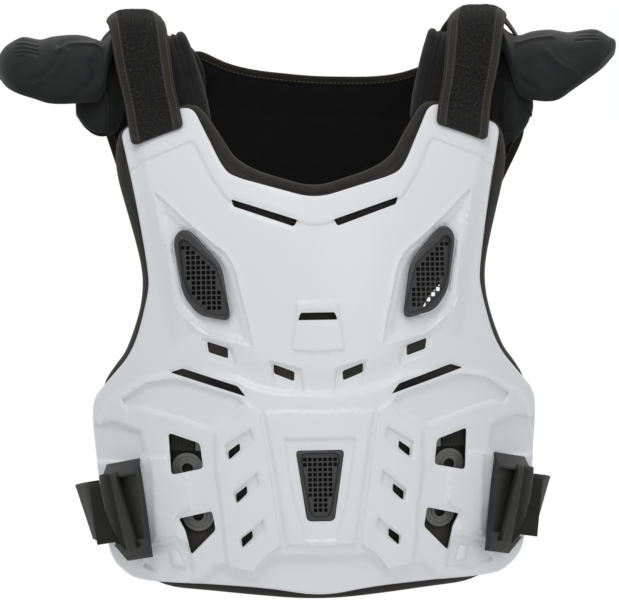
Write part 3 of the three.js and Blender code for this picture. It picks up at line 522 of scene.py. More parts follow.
def build_grain_group():
    """Fine moulded grain: a height and a small change of roughness."""
    tree, start, end = node_group(
        "moulded_grain",
        [("Scale", "NodeSocketFloat", 900.0), ("Roughness", "NodeSocketFloat", 0.4),
         ("Spread", "NodeSocketFloat", 0.06)],
        [("Height", "NodeSocketFloat"), ("Roughness", "NodeSocketFloat")],
    )
    place = tree.nodes.new("ShaderNodeTexCoord").outputs["Object"]
    grain = wired(tree, "ShaderNodeTexNoise", Vector=place, Scale=start.outputs["Scale"], Detail=3.0)
    cloud = wired(tree, "ShaderNodeTexNoise", Vector=place, Scale=14.0, Detail=4.0)
    shift = maths(tree, "MULTIPLY", maths(tree, "SUBTRACT", cloud.outputs[0], 0.5), start.outputs["Spread"])
    tree.links.new(grain.outputs[0], end.inputs["Height"])
    tree.links.new(maths(tree, "ADD", start.outputs["Roughness"], shift), end.inputs["Roughness"])
    return tree


def build_knit_group():
    """Knit or woven face from two crossed waves with a little unevenness."""
    tree, start, end = node_group(
        "knit_face",
        [("Vector", "NodeSocketVector", (0, 0, 0)), ("Across", "NodeSocketFloat", 900.0),
         ("Along", "NodeSocketFloat", 900.0), ("Uneven", "NodeSocketFloat", 0.25)],
        [("Height", "NodeSocketFloat"), ("Shade", "NodeSocketFloat")],
    )
    parts = wired(tree, "ShaderNodeSeparateXYZ", Vector=start.outputs["Vector"])
    waves = []
    for part, count in ((parts.outputs[0], "Across"), (parts.outputs[2], "Along")):
        turns = maths(tree, "MULTIPLY", part, start.outputs[count])
        waves.append(maths(tree, "SINE", maths(tree, "MULTIPLY", turns, 2 * math.pi)))
    cloth = maths(tree, "ADD", maths(tree, "MULTIPLY", maths(tree, "MULTIPLY", *waves), 0.5), 0.5)
    cloud = wired(tree, "ShaderNodeTexNoise", Vector=start.outputs["Vector"], Scale=60.0, Detail=5.0)
    uneven = maths(tree, "MULTIPLY", cloud.outputs[0], start.outputs["Uneven"])
    height = maths(tree, "ADD", cloth, uneven)
    tree.links.new(height, end.inputs["Height"])
    shade = maths(tree, "ADD", maths(tree, "MULTIPLY", cloth, 0.45),
                  maths(tree, "MULTIPLY", cloud.outputs[0], 0.75))
    tree.links.new(shade, end.inputs["Shade"])
    return tree


GRAIN = build_grain_group()
KNIT = build_knit_group()


def group_node(tree, group, **values):
    node = tree.nodes.new("ShaderNodeGroup")
    node.node_tree = group
    for key, value in values.items():
        feed(tree, node.inputs[key], value)
    return node


def new_material(name):
    material = bpy.data.materials.new(name)
    material.use_nodes = True
    tree = material.node_tree
    tree.nodes.clear()
    shader = tree.nodes.new("ShaderNodeBsdfPrincipled")
    output = tree.nodes.new("ShaderNodeOutputMaterial")
    tree.links.new(shader.outputs[0], output.inputs[0])
    return material, tree, shader


def mixed(tree, share, one, two):
    """A colour between two, by a share."""
    node = tree.nodes.new("ShaderNodeMix")
    node.data_type = "RGBA"
    for socket, value in ((node.inputs[0], share), (node.inputs[6], one), (node.inputs[7], two)):
        feed(tree, socket, (*value, 1.0) if isinstance(value, tuple) else value)
    return node.outputs[2]


def bumped(tree, shader, height, distance, strength=0.5):
    bump = wired(tree, "ShaderNodeBump", Height=height, Strength=strength, Distance=distance)
    tree.links.new(bump.outputs[0], shader.inputs["Normal"])


def moulded(name, colour, roughness, scale=900.0, distance=0.00003, spread=0.06, stain=0.06):
    """Moulded plastic: an even colour with a faint cloud, fine grain and an uneven sheen."""
    material, tree, shader = new_material(name)
    place = tree.nodes.new("ShaderNodeTexCoord").outputs["Object"]
    cloud = wired(tree, "ShaderNodeTexNoise", Vector=place, Scale=9.0, Detail=4.0)
    darker = tuple(c * (1 - stain) for c in colour)
    tree.links.new(mixed(tree, cloud.outputs[0], darker, colour), shader.inputs["Base Color"])
    grain = group_node(tree, GRAIN, Scale=scale, Roughness=roughness, Spread=spread)
    tree.links.new(grain.outputs["Roughness"], shader.inputs["Roughness"])
    bumped(tree, shader, grain.outputs["Height"], distance)
    return material


def fabric(name, colour, light, across=700.0, along=700.0, distance=0.0003, roughness=0.9, sheen=0.3,
           uneven=0.3, bound=None, vector="Object", shine=0.12):
    """Cloth: crossed threads, a change of shade, soft sheen, and a bound edge where one is asked for."""
    material, tree, shader = new_material(name)
    place = tree.nodes.new("ShaderNodeTexCoord").outputs[vector]
    knit = group_node(tree, KNIT, Vector=place, Across=across, Along=along, Uneven=uneven)
    colour_out = mixed(tree, knit.outputs["Shade"], colour, light)
    if bound:
        rim = wired(tree, "ShaderNodeAttribute", {"attribute_name": "rim"}).outputs["Fac"]
        share = wired(tree, "ShaderNodeMapRange", Value=rim, i1=bound["width"] - 0.2, i2=bound["width"] + 0.2,
                      i3=1.0, i4=0.0).outputs[0]
        tape = mixed(tree, knit.outputs["Shade"], bound["colour"], bound["light"])
        colour_out = mixed(tree, share, colour_out, tape)
    tree.links.new(colour_out, shader.inputs["Base Color"])
    shader.inputs["Roughness"].default_value = roughness
    shader.inputs["Sheen Weight"].default_value = sheen
    shader.inputs["Sheen Roughness"].default_value = 0.6
    shader.inputs["Specular IOR Level"].default_value = shine
    bumped(tree, shader, knit.outputs["Height"], distance, 0.7)
    return material


WHITE = moulded("white plastic", (0.78, 0.79, 0.815), 0.34, stain=0.03)
VENT = moulded("vent plastic", (0.042, 0.0425, 0.044), 0.40, 1400.0, 0.00005)
# Grey of the strap brackets; the same grey also makes the strips of painted shade seen through the windows.
BRACKET_GREY_AND_PAINTED_SHADE = moulded("grey plastic", (0.125, 0.125, 0.120), 0.42)
BUCKLE = moulded("buckle plastic", (0.019, 0.019, 0.0175), 0.5, 1500.0, 0.00008)
LINER = fabric("liner knit", (0.008, 0.0075, 0.0065), (0.038, 0.036, 0.032), 430.0, 430.0, 0.0006,
               sheen=0.14)
LINING = fabric("quilted lining", (0.002, 0.002, 0.002), (0.008, 0.008, 0.008), 600.0, 600.0, 0.0002,
                sheen=0.05,
                bound={"width": 7.5, "colour": (0.009, 0.0085, 0.007), "light": (0.026, 0.0245, 0.020)})
LOOP = fabric("loop tape", (0.0015, 0.0014, 0.0013), (0.009, 0.0085, 0.008), 650.0, 650.0, 0.0006, sheen=0.1,
              uneven=1.2)
FUZZ = fabric("loop fibre", (0.003, 0.0028, 0.0025), (0.040, 0.0375, 0.034), 1500.0, 1500.0, 0.0001,
              sheen=0.2)
EDGE_TAPE = fabric("binding tape", (0.007, 0.0065, 0.0055), (0.032, 0.030, 0.026), 600.0, 600.0, 0.0006,
                   sheen=0.12)
BAND = fabric("ribbed band", (0.005, 0.005, 0.0055), (0.016, 0.016, 0.017), 800.0, 300.0, 0.0003, sheen=0.1)
CUP_CLOTH = fabric("cup cloth", (0.0055, 0.006, 0.0065), (0.016, 0.017, 0.018), 700.0, 700.0, 0.00025, 0.62,
                   0.05, shine=0.16)
WEB = fabric("webbing", (0.004, 0.004, 0.004), (0.024, 0.024, 0.022), 260.0, 800.0, 0.0005, sheen=0.1,
             vector="UV")
THREAD = fabric("thread", (0.055, 0.052, 0.044), (0.16, 0.15, 0.13), 1500.0, 1500.0, 0.0001, sheen=0.1)


# Repeated pieces, by Geometry Nodes

def evaluated_mesh(obj, name):
    """The plain mesh that an object's modifiers make; the object is removed."""
    graph = bpy.context.evaluated_depsgraph_get()
    mesh = bpy.data.meshes.new_from_object(obj.evaluated_get(graph))
    mesh.name = name
    data = obj.data
    bpy.data.objects.remove(obj)
    if isinstance(data, bpy.types.Mesh):
        bpy.data.meshes.remove(data)
    made = bpy.data.objects.new(name, mesh)
    bpy.context.scene.collection.objects.link(made)
    return made


def nodes_tree(name, inputs):
    tree = bpy.data.node_groups.new(name, "GeometryNodeTree")
    tree.interface.new_socket(name="Geometry", in_out="INPUT", socket_type="NodeSocketGeometry")
    for label, kind, value in inputs:
        socket = tree.interface.new_socket(name=label, in_out="INPUT", socket_type=kind)
        if value is not None:
            socket.default_value = value
    tree.interface.new_socket(name="Geometry", in_out="OUTPUT", socket_type="NodeSocketGeometry")
    return tree, tree.nodes.new("NodeGroupInput"), tree.nodes.new("NodeGroupOutput")


def set_inputs(modifier, **values):
    for item in modifier.node_group.interface.items_tree:
        if item.item_type == "SOCKET" and item.in_out == "INPUT" and item.name.replace(" ", "_") in values:
            modifier[item.identifier] = values[item.name.replace(" ", "_")]


def build_loop_tree():
    """Small loops of fibre that stand on a face, at random turns."""
    tree, start, end = nodes_tree("loop_pile", [
        ("Density", "NodeSocketFloat", 600000.0), ("Radius", "NodeSocketFloat", 0.0009),
        ("Thickness", "NodeSocketFloat", 0.00013), ("Seed", "NodeSocketInt", 4),
        ("Material", "NodeSocketMaterial", None)])
    spread = wired(tree, "GeometryNodeDistributePointsOnFaces", Density=start.outputs["Density"],
                   Seed=start.outputs["Seed"], Mesh=start.outputs["Geometry"])
    arc = wired(tree, "GeometryNodeCurveArc", Resolution=5, Radius=start.outputs["Radius"],
                Start_Angle=math.radians(-30), Sweep_Angle=math.radians(240))
    profile = wired(tree, "GeometryNodeCurvePrimitiveCircle", Resolution=3,
                    Radius=start.outputs["Thickness"])
    loop = wired(tree, "GeometryNodeCurveToMesh", Curve=arc.outputs[0])
    tree.links.new(profile.outputs[0], loop.inputs["Profile Curve"])
    upright = wired(tree, "GeometryNodeTransform", Geometry=loop.outputs[0], Rotation=(math.pi / 2, 0, 0))
    turn = wired(tree, "FunctionNodeRandomValue", {"data_type": "FLOAT_VECTOR"}, Min=(-0.9, -0.9, 0.0),
                 Max=(0.9, 0.9, 6.28), Seed=11)
    size = wired(tree, "FunctionNodeRandomValue", {"data_type": "FLOAT"}, i2=0.55, i3=1.15, Seed=5)
    place = wired(tree, "GeometryNodeInstanceOnPoints", Points=spread.outputs["Points"],
                  Instance=upright.outputs[0], Rotation=spread.outputs["Rotation"],
                  Scale=size.outputs[1])
    turned = wired(tree, "GeometryNodeRotateInstances", Instances=place.outputs[0], Rotation=turn.outputs[0])
    real = wired(tree, "GeometryNodeRealizeInstances", Geometry=turned.outputs[0])
    finish = wired(tree, "GeometryNodeSetMaterial", Geometry=real.outputs[0],
                   Material=start.outputs["Material"])
    tree.links.new(finish.outputs[0], end.inputs[0])
    return tree


def build_stitch_tree():
    """Short stitches set along curves."""
    tree, start, end = nodes_tree("stitches", [
        ("Pitch", "NodeSocketFloat", 0.0034), ("Length", "NodeSocketFloat", 0.0024),
        ("Width", "NodeSocketFloat", 0.0007), ("Material", "NodeSocketMaterial", None)])
    even = wired(tree, "GeometryNodeResampleCurve", {"mode": "LENGTH"}, Curve=start.outputs["Geometry"],
                 Length=start.outputs["Pitch"])
    dots = wired(tree, "GeometryNodeCurveToPoints", {"mode": "EVALUATED"}, Curve=even.outputs[0])
    ball = wired(tree, "GeometryNodeMeshUVSphere", Segments=6, Rings=4, Radius=0.5)
    size = wired(tree, "ShaderNodeCombineXYZ", X=start.outputs["Width"], Y=start.outputs["Width"],
                 Z=start.outputs["Length"])
    place = wired(tree, "GeometryNodeInstanceOnPoints", Points=dots.outputs["Points"],
                  Instance=ball.outputs[0], Rotation=dots.outputs["Rotation"],
                  Scale=size.outputs[0])
    real = wired(tree, "GeometryNodeRealizeInstances", Geometry=place.outputs[0])
    finish = wired(tree, "GeometryNodeSetMaterial", Geometry=real.outputs[0],
                   Material=start.outputs["Material"])
    tree.links.new(finish.outputs[0], end.inputs[0])
    return tree


TREES = {}


def grow_loops(name, points, faces, side):
    if "loops" not in TREES:
        TREES["loops"] = build_loop_tree()
    used = sorted({v for face in faces for v in face})
    index = {v: i for i, v in enumerate(used)}
    base = loose_object(name, points[used] * MM, [[index[v] for v in face] for face in faces])
    grow = base.modifiers.new("loops", "NODES")
    grow.node_group = TREES["loops"]
    set_inputs(grow, Density=420000.0, Radius=0.00115, Thickness=0.00017, Seed=4 + side, Material=FUZZ)
    settle(evaluated_mesh(base, name), [])


def stitch(name, lines, pitch, width=0.7):
    """Rows of stitches along lines given in millimetres."""
    if "stitches" not in TREES:
        TREES["stitches"] = build_stitch_tree()
    curve = bpy.data.curves.new(name, "CURVE")
    curve.dimensions = "3D"
    for line in lines:
        spline = curve.splines.new("POLY")
        spline.points.add(len(line) - 1)
        spline.points.foreach_set("co", np.column_stack([line * MM, np.ones(len(line))]).ravel())
    obj = bpy.data.objects.new(name, curve)
    bpy.context.scene.collection.objects.link(obj)
    sew = obj.modifiers.new("stitches", "NODES")
    sew.node_group = TREES["stitches"]
    set_inputs(sew, Pitch=pitch * MM, Length=pitch * 0.7 * MM, Width=width * MM, Material=THREAD)
    made = evaluated_mesh(obj, name)
    bpy.data.curves.remove(curve)
    settle(made, [])


# Chest plate

# Lines of the plate's relief on one half: (distance from the middle, height)
ARM_LINE = [(-60, -40), (160, -60), (152, -112), (146, -146), (140, -180), (133, -214), (129, -239),
            (123, -260), (118, -275), (104, -330), (-60, -330)]
COLLAR_FIELD = [(-60, -166), (1, -165), (14, -162), (42, -154), (70, -144), (75, -137), (84, -123),
                (95, -98), (101, -91), (124, -100), (147, -108), (150, -113), (200, -130), (200, -600),
                (-60, -600)]
BELT_LINE = [(-60, -301), (0, -301), (47, -294), (70, -282), (90, -262), (104, -257), (119, -266),
             (160, -266), (160, 0), (-60, 0)]
VENT_POD = [(135, -133), (109, -159), (88, -178), (74, -189), (67, -202), (61, -229), (56, -249), (53, -268),
            (75, -262), (93, -257), (104, -248), (113, -240), (119, -231), (123, -206), (126, -184),
            (131, -155)]
# Fields that stand above or below their surroundings: lift in shares of FIELD_LIFT, width of the bevel,
# corner radius, corners
FIELD_LIFT = 1.4
FIELDS = [
    (1.3, 2.2, 3, [(-30, -229), (18, -230), (20, -250), (23, -271), (-30, -276)]),
    (3.4, 7.0, 5, [(176, -306), (144, -288), (122, -285), (98, -286), (70, -287), (49, -297), (30, -301),
                   (-30, -303), (-30, -446), (36, -446), (41, -447), (54, -462), (75, -459), (83, -452),
                   (98, -468), (150, -474), (195, -440), (200, -380), (186, -320)]),
    (-3.0, 3.6, 4, [(167, -310), (144, -294), (124, -291), (108, -293), (66, -306), (60, -314), (71, -324),
                    (91, -336), (117, -327), (150, -318), (160, -322)]),
    (-3.0, 3.6, 3, [(171, -327), (146, -336), (143, -356), (150, -366), (190, -366), (196, -332)]),
    (1.5, 3.0, 3, [(143, -358), (128, -356), (107, -370), (105, -402), (118, -409), (116, -426),
                   (140, -431)]),
    (2.0, 3.2, 3, [(88, -338), (88, -369), (84, -399), (81, -436), (78, -452), (55, -456), (43, -441),
                   (31, -433), (39, -369), (47, -320), (60, -311), (71, -326)]),
    (1.6, 3.0, 3, [(-30, -320), (28, -318), (47, -319), (39, -369), (30, -433), (-30, -437)]),
    (-1.6, 2.4, 3, [(-30, -342), (31, -342), (23, -395), (14, -428), (-30, -431)]),
    (-2.2, 2.6, 2, [(142, -432), (116, -427), (108, -430), (104, -456), (130, -460), (150, -452)]),
    (2.2, 1.6, 1.5, [(127, -437), (118, -435), (111, -453), (125, -450)]),
    (-2.0, 2.4, 2, [(97, -258), (70, -267), (66, -285), (90, -277)]),
    (-2.0, 2.4, 2, [(42, -277), (13, -285), (12, -304), (37, -297)]),
    (-2.6, 3.4, 3, [(81, -347), (55, -331), (52, -344), (64, -357), (77, -363)]),
    (-2.6, 3.4, 3, [(74, -386), (51, -367), (48, -382), (60, -393), (71, -399)]),
    (-2.6, 3.4, 3, [(69, -426), (46, -406), (44, -419), (55, -430), (66, -436)]),
]


def plate_relief(x, z):
    """How far the chest plate's face stands before its plain curve."""
    points = np.stack([np.abs(x), z], axis=1)
    face = ramp(depth_in(points, rounded(ARM_LINE, 12), 60), 12)
    face = np.minimum(face, ramp(depth_in(points, rounded(BELT_LINE, 8), 60), 15))
    height = 3.0 * (face - 1)
    height += 2.1 * (1 - ramp(depth_in(points, rounded(COLLAR_FIELD, 6), 60), 3.2))
    pod = depth_in(points, rounded(VENT_POD, 5), 20)
    height += 0.8 * np.exp(-(pod / 1.6) ** 2)
    height -= 1.6 * ramp(pod, 2.2) + 2.3 * ramp(pod - 3.6, 4.0)
    for lift, bevel, corner, ring in FIELDS:
        height += FIELD_LIFT * lift * ramp(depth_in(points, rounded(ring, corner), 20), bevel)
    return height


def relief_rings():
    """Lines that the plate's triangles follow, so that each bevel stays crisp."""
    rings = []
    for _, bevel, corner, ring in FIELDS:
        shape = spaced(rounded(ring, corner), 3)
        for share in (0, 0.5, 1):
            rings.append(inset(shape, bevel * share))
    pod = spaced(rounded(VENT_POD, 5), 3)
    rings += [inset(pod, by) for by in (0, 2.4, 3.6, 7.8)]
    collar = spaced(rounded(COLLAR_FIELD, 6), 3)
    rings += [inset(collar, by) for by in (0, 1.7, 3.4)]
    lines = []
    for ring in rings:
        for side in (1, -1):
            line = ring * np.array([side, 1.0])
            keep = line[:, 0] * side >= 0
            lines += runs(np.vstack([line, line[:1]]), np.append(keep, keep[:1]))
    return lines


def runs(line, keep):
    """The stretches of a line whose points are kept."""
    made, current = [], []
    for point, good in zip(line, keep):
        if good:
            current.append(point)
        elif len(current) > 1:
            made.append(np.array(current))
            current = []
        else:
            current = []
    if len(current) > 1:
        made.append(np.array(current))
    return made


def clipped(lines, outline, holes):
    """Keeps the stretches of lines inside the sheet, clear of its edges."""
    made = []
    for line in lines:
        line = spaced(line, 2.5, False)
        keep = depth_in(line, outline) > 0.4
        for hole in holes:
            keep &= depth_in(line, hole, 8) < -0.4
        made += runs(line, keep)
    return made


def plate_holes():
    holes = []
    for corners, radius in [(COLLAR_SLOT, 1.6), *[(slot, 1.8) for slot in RIB_SLOTS], (UPPER_WINDOW, 3.4),
                            (LOWER_WINDOW, 2.6), (CHEST_VENT, 8)]:
        for side in SIDES.values():
            holes.append(rounded(on_side(on_plate(corners), side), radius))
    holes.append(rounded(both_halves(on_plate(STERNUM_SLOT)), 1.6))
    holes.append(rounded(both_halves(on_plate(BELLY_VENT)), 4))
    return holes


def build_chest_plate():
    outline = rounded(both_halves(on_plate(PLATE_EDGE)))
    holes = plate_holes()
    soft = [inset(outline, by) for by in (0.35, 0.9, PLATE_RIM)]
    soft += [inset(hole, -by) for hole in holes for by in (0.3, HOLE_RIM)]
    lines = clipped(relief_rings(), outline, holes)
    flat, faces = cut_sheet(outline, holes, soft, lines, 2.3, 2.0, 0.22)
    x, z = flat[:, 0], flat[:, 1]
    edge = depth_in(flat, outline)
    height = plate_relief(x, z) - rim_round(edge, PLATE_RIM)
    for hole in holes:
        height -= rim_round(np.clip(-depth_in(flat, hole, 6), 0, None), HOLE_RIM)
    steep = steepness(chest_surface, x, z)
    plain = chest_surface(x, z)
    points, made = walled(flat, faces, plain - height * steep,
                          plain + (PLATE_WALL - np.maximum(height, -1.6) * 0.8) * steep)
    make_piece("chest_plate", points, made, WHITE, ["chest_shell"], 38)


build_chest_plate()


# Vents

def grille_holes(mesh_ring, pitch, wide):
    """Square holes in straight rows and columns that fit inside a ring."""
    low, high = mesh_ring.min(0), mesh_ring.max(0)
    middle = (low + high) / 2
    count = int(max(high - low) / pitch / 2) + 1
    holes = []
    for row in range(-count, count + 1):
        for column in range(-count, count + 1):
            centre = middle + [column * pitch, row * pitch]
            hole = centre + np.array([(1, 1), (-1, 1), (-1, -1), (1, -1)]) * wide / 2
            if np.all(depth_in(hole, mesh_ring) > -0.7):
                holes.append(rounded([tuple(p) for p in hole], 0.5, 2))
    return holes


def build_vent(name, node, outline, mesh_ring, round_by):
    outline = inset(rounded(outline, round_by), 0.4)
    mesh_ring = rounded(mesh_ring, 3)
    grille = inset(mesh_ring, -2.4)
    bevel = inset(mesh_ring, -3.6)
    holes = grille_holes(inset(mesh_ring, -1.4), GRILLE_PITCH, GRILLE_HOLE)
    rings = [inset(outline, by) for by in (0.35, 0.9, 1.6)]
    rings += [grille, bevel, inset(grille, -0.5), inset(grille, 0.5)]
    flat, faces = cut_sheet(outline, holes, rings, (), 3.0, 1.8)
    x, z = flat[:, 0], flat[:, 1]
    edge = depth_in(flat, outline)
    sunk = depth_in(flat, bevel)
    height = 1.4 + 0.6 * ramp(edge, 4) - rim_round(edge, 1.4) - GRILLE_SUNK * ramp(sunk, 1.6)
    height -= 0.5 * ramp(depth_in(flat, grille), 6)
    steep = steepness(chest_surface, x, z)
    plain = chest_surface(x, z)
    thick = np.where(depth_in(flat, grille) > 0, GRILLE_THICK, GRILLE_THICK + 3.6)
    points, made = walled(flat, faces, plain - height * steep, plain - (height - thick) * steep)
    make_piece(name, points, made, VENT, [node], 35)


for word, side in SIDES.items():
    build_vent(f"chest_vent_{word}_frame", f"chest_vent_{word}", on_side(on_plate(CHEST_VENT), side),
               on_side(on_plate(CHEST_MESH), side), 8)
build_vent("belly_vent_frame", "belly_vent", both_halves(on_plate(BELLY_VENT)),
           both_halves(on_plate(BELLY_MESH)), 4)


# Liners

def build_chest_liner():
    outline = rounded(both_halves(on_plate(LINER_EDGE)))
    holes = []
    for side in SIDES.values():
        holes.append(inset(rounded(on_side(on_plate(CHEST_VENT), side), 8), -0.6))
    holes.append(inset(rounded(both_halves(on_plate(BELLY_VENT)), 4), -0.6))
    radius = LINER_THICK / 2 - 0.3
    soft = [inset(outline, by) for by in (0.3, 1, 2, radius, SEAM_IN - 1.2, SEAM_IN, SEAM_IN + 1.2)]
    flat, faces = cut_sheet(outline, holes, soft, (), 5.5, 3)
    x, z = flat[:, 0], flat[:, 1]
    edge = depth_in(flat, outline)
    fall = rim_round(edge, radius)
    seam = 0.9 * np.exp(-((edge - SEAM_IN) / 0.8) ** 2)
    steep = steepness(chest_surface, x, z)
    plain = chest_surface(x, z)
    front = LINER_FACE + fall + seam + bracket_pocket(flat)
    rear = LINER_FACE + LINER_THICK - fall - seam - quilting(z, edge)
    points, made = walled(flat, faces, plain + front * steep, plain + rear * steep)
    liner = make_piece("chest_lining", points, made, LINER, ["chest_liner"], 50)
    for name, depth in (("collar_seam", 0.55), ("liner_inner_seam", LINER_THICK - 0.3)):
        seam_on(outline, 7.0, chest_surface, LINER_FACE + depth, name, lambda points: points)


def seam_on(outline, by, surface, depth, name, place):
    """A row of stitches all round a sheet, a little way in from its edge."""
    ring = inset(outline, by)
    ring = np.vstack([ring, ring[:1]])
    ring = spaced(ring, 6, False)
    x, z = ring[:, 0], ring[:, 1]
    y = surface(x, z) + depth * steepness(surface, x, z)
    stitch(name, [place(np.stack([x, y, z], axis=1))], 4.0, 0.8)


def quilting(z, edge):
    """Depth of the sewn channels on the inside of a liner."""
    away = QUILT_PITCH / 2 - np.abs(((z + 10) / QUILT_PITCH) % 1 - 0.5) * QUILT_PITCH
    return 1.6 * np.exp(-(away / 1.6) ** 2) * ramp(edge - 9, 6)


def bracket_pocket(flat):
    """Room in the liner's front for the strap brackets."""
    depth = np.zeros(len(flat))
    deepest = PLATE_WALL + GAP + BRACKET_THICK + 0.7 - LINER_FACE
    for side in SIDES.values():
        seats = [np.array([side * x, z]) for x, z in [(115, -336), (108, -352), *on_plate(DISC_SEATS)]]
        away = line_distance(flat, np.array(seats), False)
        depth = np.maximum(depth, deepest * ramp(18 - away, 2.5))
    return depth


def build_back_liner():
    outline = rounded(both_halves(on_back(BACK_EDGE)))
    radius = 4.4
    soft = [inset(outline, by) for by in (0.3, 1, 2, 3.2, radius, SEAM_IN - 1.2, SEAM_IN, SEAM_IN + 1.2)]
    flat, faces = cut_sheet(outline, (), soft, (), 5.5, 3)
    x, z = flat[:, 0], flat[:, 1]
    edge = depth_in(flat, outline)
    fall = rim_round(edge, radius)
    seam = np.exp(-((edge - SEAM_IN) / 0.8) ** 2)
    steep = steepness(back_surface, x, z)
    plain = back_surface(x, z)
    front = BACK_LINER_THICK + GAP - fall - seam - quilting(z, edge)
    rear = GAP + fall
    points, made = walled(flat, faces, plain - front * steep, plain - rear * steep)
    liner = make_piece("back_lining", turned_back(points), made, LINING, ["back_liner"], 50,
                       values={"rim": np.concatenate([edge, edge])})
    seam_on(outline, 6.2, back_surface, -(BACK_LINER_THICK + GAP - 0.1), "binding_seam",
            turned_back)


# Relief of the back plate on one half: (distance from the middle, height)
SPINE = [(28, 0.16), (46, 0.34), (32, 0.62), (37, 0.88)]
BLADE = [(62, -62), (152, -84), (140, -140), (112, -176), (64, -150)]
FLANK = [(60, -196), (86, -214), (76, -300), (92, -372), (62, -400), (54, -300)]
BACK_BEVEL = 3


def build_back_plate():
    shell_line = inset(rounded(both_halves(on_back(BACK_EDGE))), 2.5)
    spine = rounded(both_halves([(out, BACK_TOP - down * BACK_HEIGHT) for out, down in SPINE]), 8)
    blades = [rounded(on_side(BLADE, side), 10) for side in SIDES.values()]
    flanks = [rounded(on_side(FLANK, side), 8) for side in SIDES.values()]
    slots = []
    for side in SIDES.values():
        for step in range(4):
            top = -110 - 68 * step
            slots.append(rounded(on_side([(10, top), (24, top + 7), (24, top - 1), (10, top - 8)], side), 2))
    soft = [inset(shell_line, by) for by in (0.35, 0.9, PLATE_RIM, 9, 12)]
    for ring in [spine, *blades, *flanks]:
        soft += [inset(ring, BACK_BEVEL * share) for share in (0, 0.35, 0.7, 1)]
    soft += [inset(slot, -0.8) for slot in slots]
    flat, faces = cut_sheet(shell_line, slots, soft, (), 5, 3)
    x, z = flat[:, 0], flat[:, 1]
    edge = depth_in(flat, shell_line)
    height = 1.8 * ramp(edge - 9, BACK_BEVEL) - rim_round(edge, PLATE_RIM)
    height += 1.8 * ramp(depth_in(flat, spine, 20), BACK_BEVEL)
    for ring in blades + flanks:
        height -= 1.6 * ramp(depth_in(flat, ring, 20), BACK_BEVEL)
    for slot in slots:
        height -= rim_round(np.clip(-depth_in(flat, slot, 6), 0, None), 0.8)
    steep = steepness(back_surface, x, z)
    plain = back_surface(x, z)
    outer = BACK_WALL + height - 1.2
    points, made = walled(flat, faces, plain, plain + np.maximum(outer, 1.2) * steep)
    make_piece("back_plate", turned_back(points), made, WHITE, ["back_shell"], 38)


build_chest_liner()
build_back_liner()
build_back_plate()


# Brackets behind the windows

def build_bracket(word, side):
    upper, lower = [np.array([side * x, z]) for x, z in on_plate(DISC_SEATS)]
    # Outline: two discs joined by a link
    ring = []
    facing = math.atan2(*(lower - upper)[::-1])
    for centre, start in ((upper, facing + LINK_TURN), (lower, facing + math.pi + LINK_TURN)):
        for step in range(33):
            angle = start + 2 * (math.pi - LINK_TURN) * step / 32
            ring.append(centre + DISC_RADIUS * np.array([math.cos(angle), math.sin(angle)]))
    outline = np.array(ring)
    bores = []
    for seat in (upper, lower):
        angles = np.linspace(0, 2 * math.pi, 28, endpoint=False)
        bores.append(seat + DISC_BORE * np.stack([np.cos(angles), np.sin(angles)], axis=1))
    rings = []
    angles = np.linspace(0, 2 * math.pi, 36, endpoint=False)
    around = np.stack([np.cos(angles), np.sin(angles)], axis=1)
    for seat in (upper, lower):
        rings += [seat + radius * around for radius in (5.3, 6.8, 7.4, 10.2, 10.8, 12.4, 13.1)]
    flat, faces = cut_sheet(outline, bores, rings, (), 2.5, 1.5)
    away = np.minimum(np.linalg.norm(flat - upper, axis=1), np.linalg.norm(flat - lower, axis=1))
    height = 0.9 * (ramp(away - 10.2, 0.7) - ramp(away - 13.2, 0.5)) + 0.9 * ramp(7.4 - away, 0.7)
    height -= 0.5 * ramp(5.4 - away, 0.8) + 0.6
    x, z = flat[:, 0], flat[:, 1]
    steep = steepness(chest_surface, x, z)
    plain = chest_surface(x, z)
    front = PLATE_WALL + GAP + 0.9 - height
    points, made = walled(flat, faces, plain + front * steep,
                          plain + (PLATE_WALL + GAP + BRACKET_THICK) * steep)
    make_piece(f"strap_anchor_{word}", points, made, BRACKET_GREY_AND_PAINTED_SHADE, [f"strap_bracket_{word}"], 35)


def build_anchor_webbing(word, side):
    """Ribbed webbing that runs up from the upper disc, seen through the window, and beside it a grey strip of
    painted shade that stands for the shaded inner wall of the plate.
    """
    for name, low, high, material, slot, rib in (
            ("anchor_webbing", 103.5, 127, WEB, "webbing", 0.35),
            # The strip is painted shade: a grey piece where the plate's white inner wall lies in shadow.
            ("anchor_strip", 93, 102.5, BRACKET_GREY_AND_PAINTED_SHADE, "grey_plastic", 0.0)):
        corners = [(low, -333), (low, -353), (high, -353), (high, -333)]
        ring = spaced(rounded(on_side(corners, side), 1.2), 1.2)
        flat, faces = cut_sheet(ring, (), [inset(ring, 0.5)], (), 1.1, 1.2)
        x, z = flat[:, 0], flat[:, 1]
        steep = steepness(chest_surface, x, z)
        plain = chest_surface(x, z)
        ribs = rib * np.sin(np.abs(x) * 2 * math.pi / 3.2)
        front = PLATE_WALL + 0.7 + ribs + rim_round(depth_in(flat, ring), 0.5)
        points, made = walled(flat, faces, plain + front * steep, plain + (PLATE_WALL + 2.6) * steep)
        make_piece(f"{name}_{word}", points, made, material, [], 50, uv=points[:, [0, 2]] * MM)


for word, side in SIDES.items():
    build_bracket(word, side)
    build_anchor_webbing(word, side)


# Straps and bands

def between(t, start, end, one, two):
    return ((end - t) * one + (t - start) * two) / (end - start)


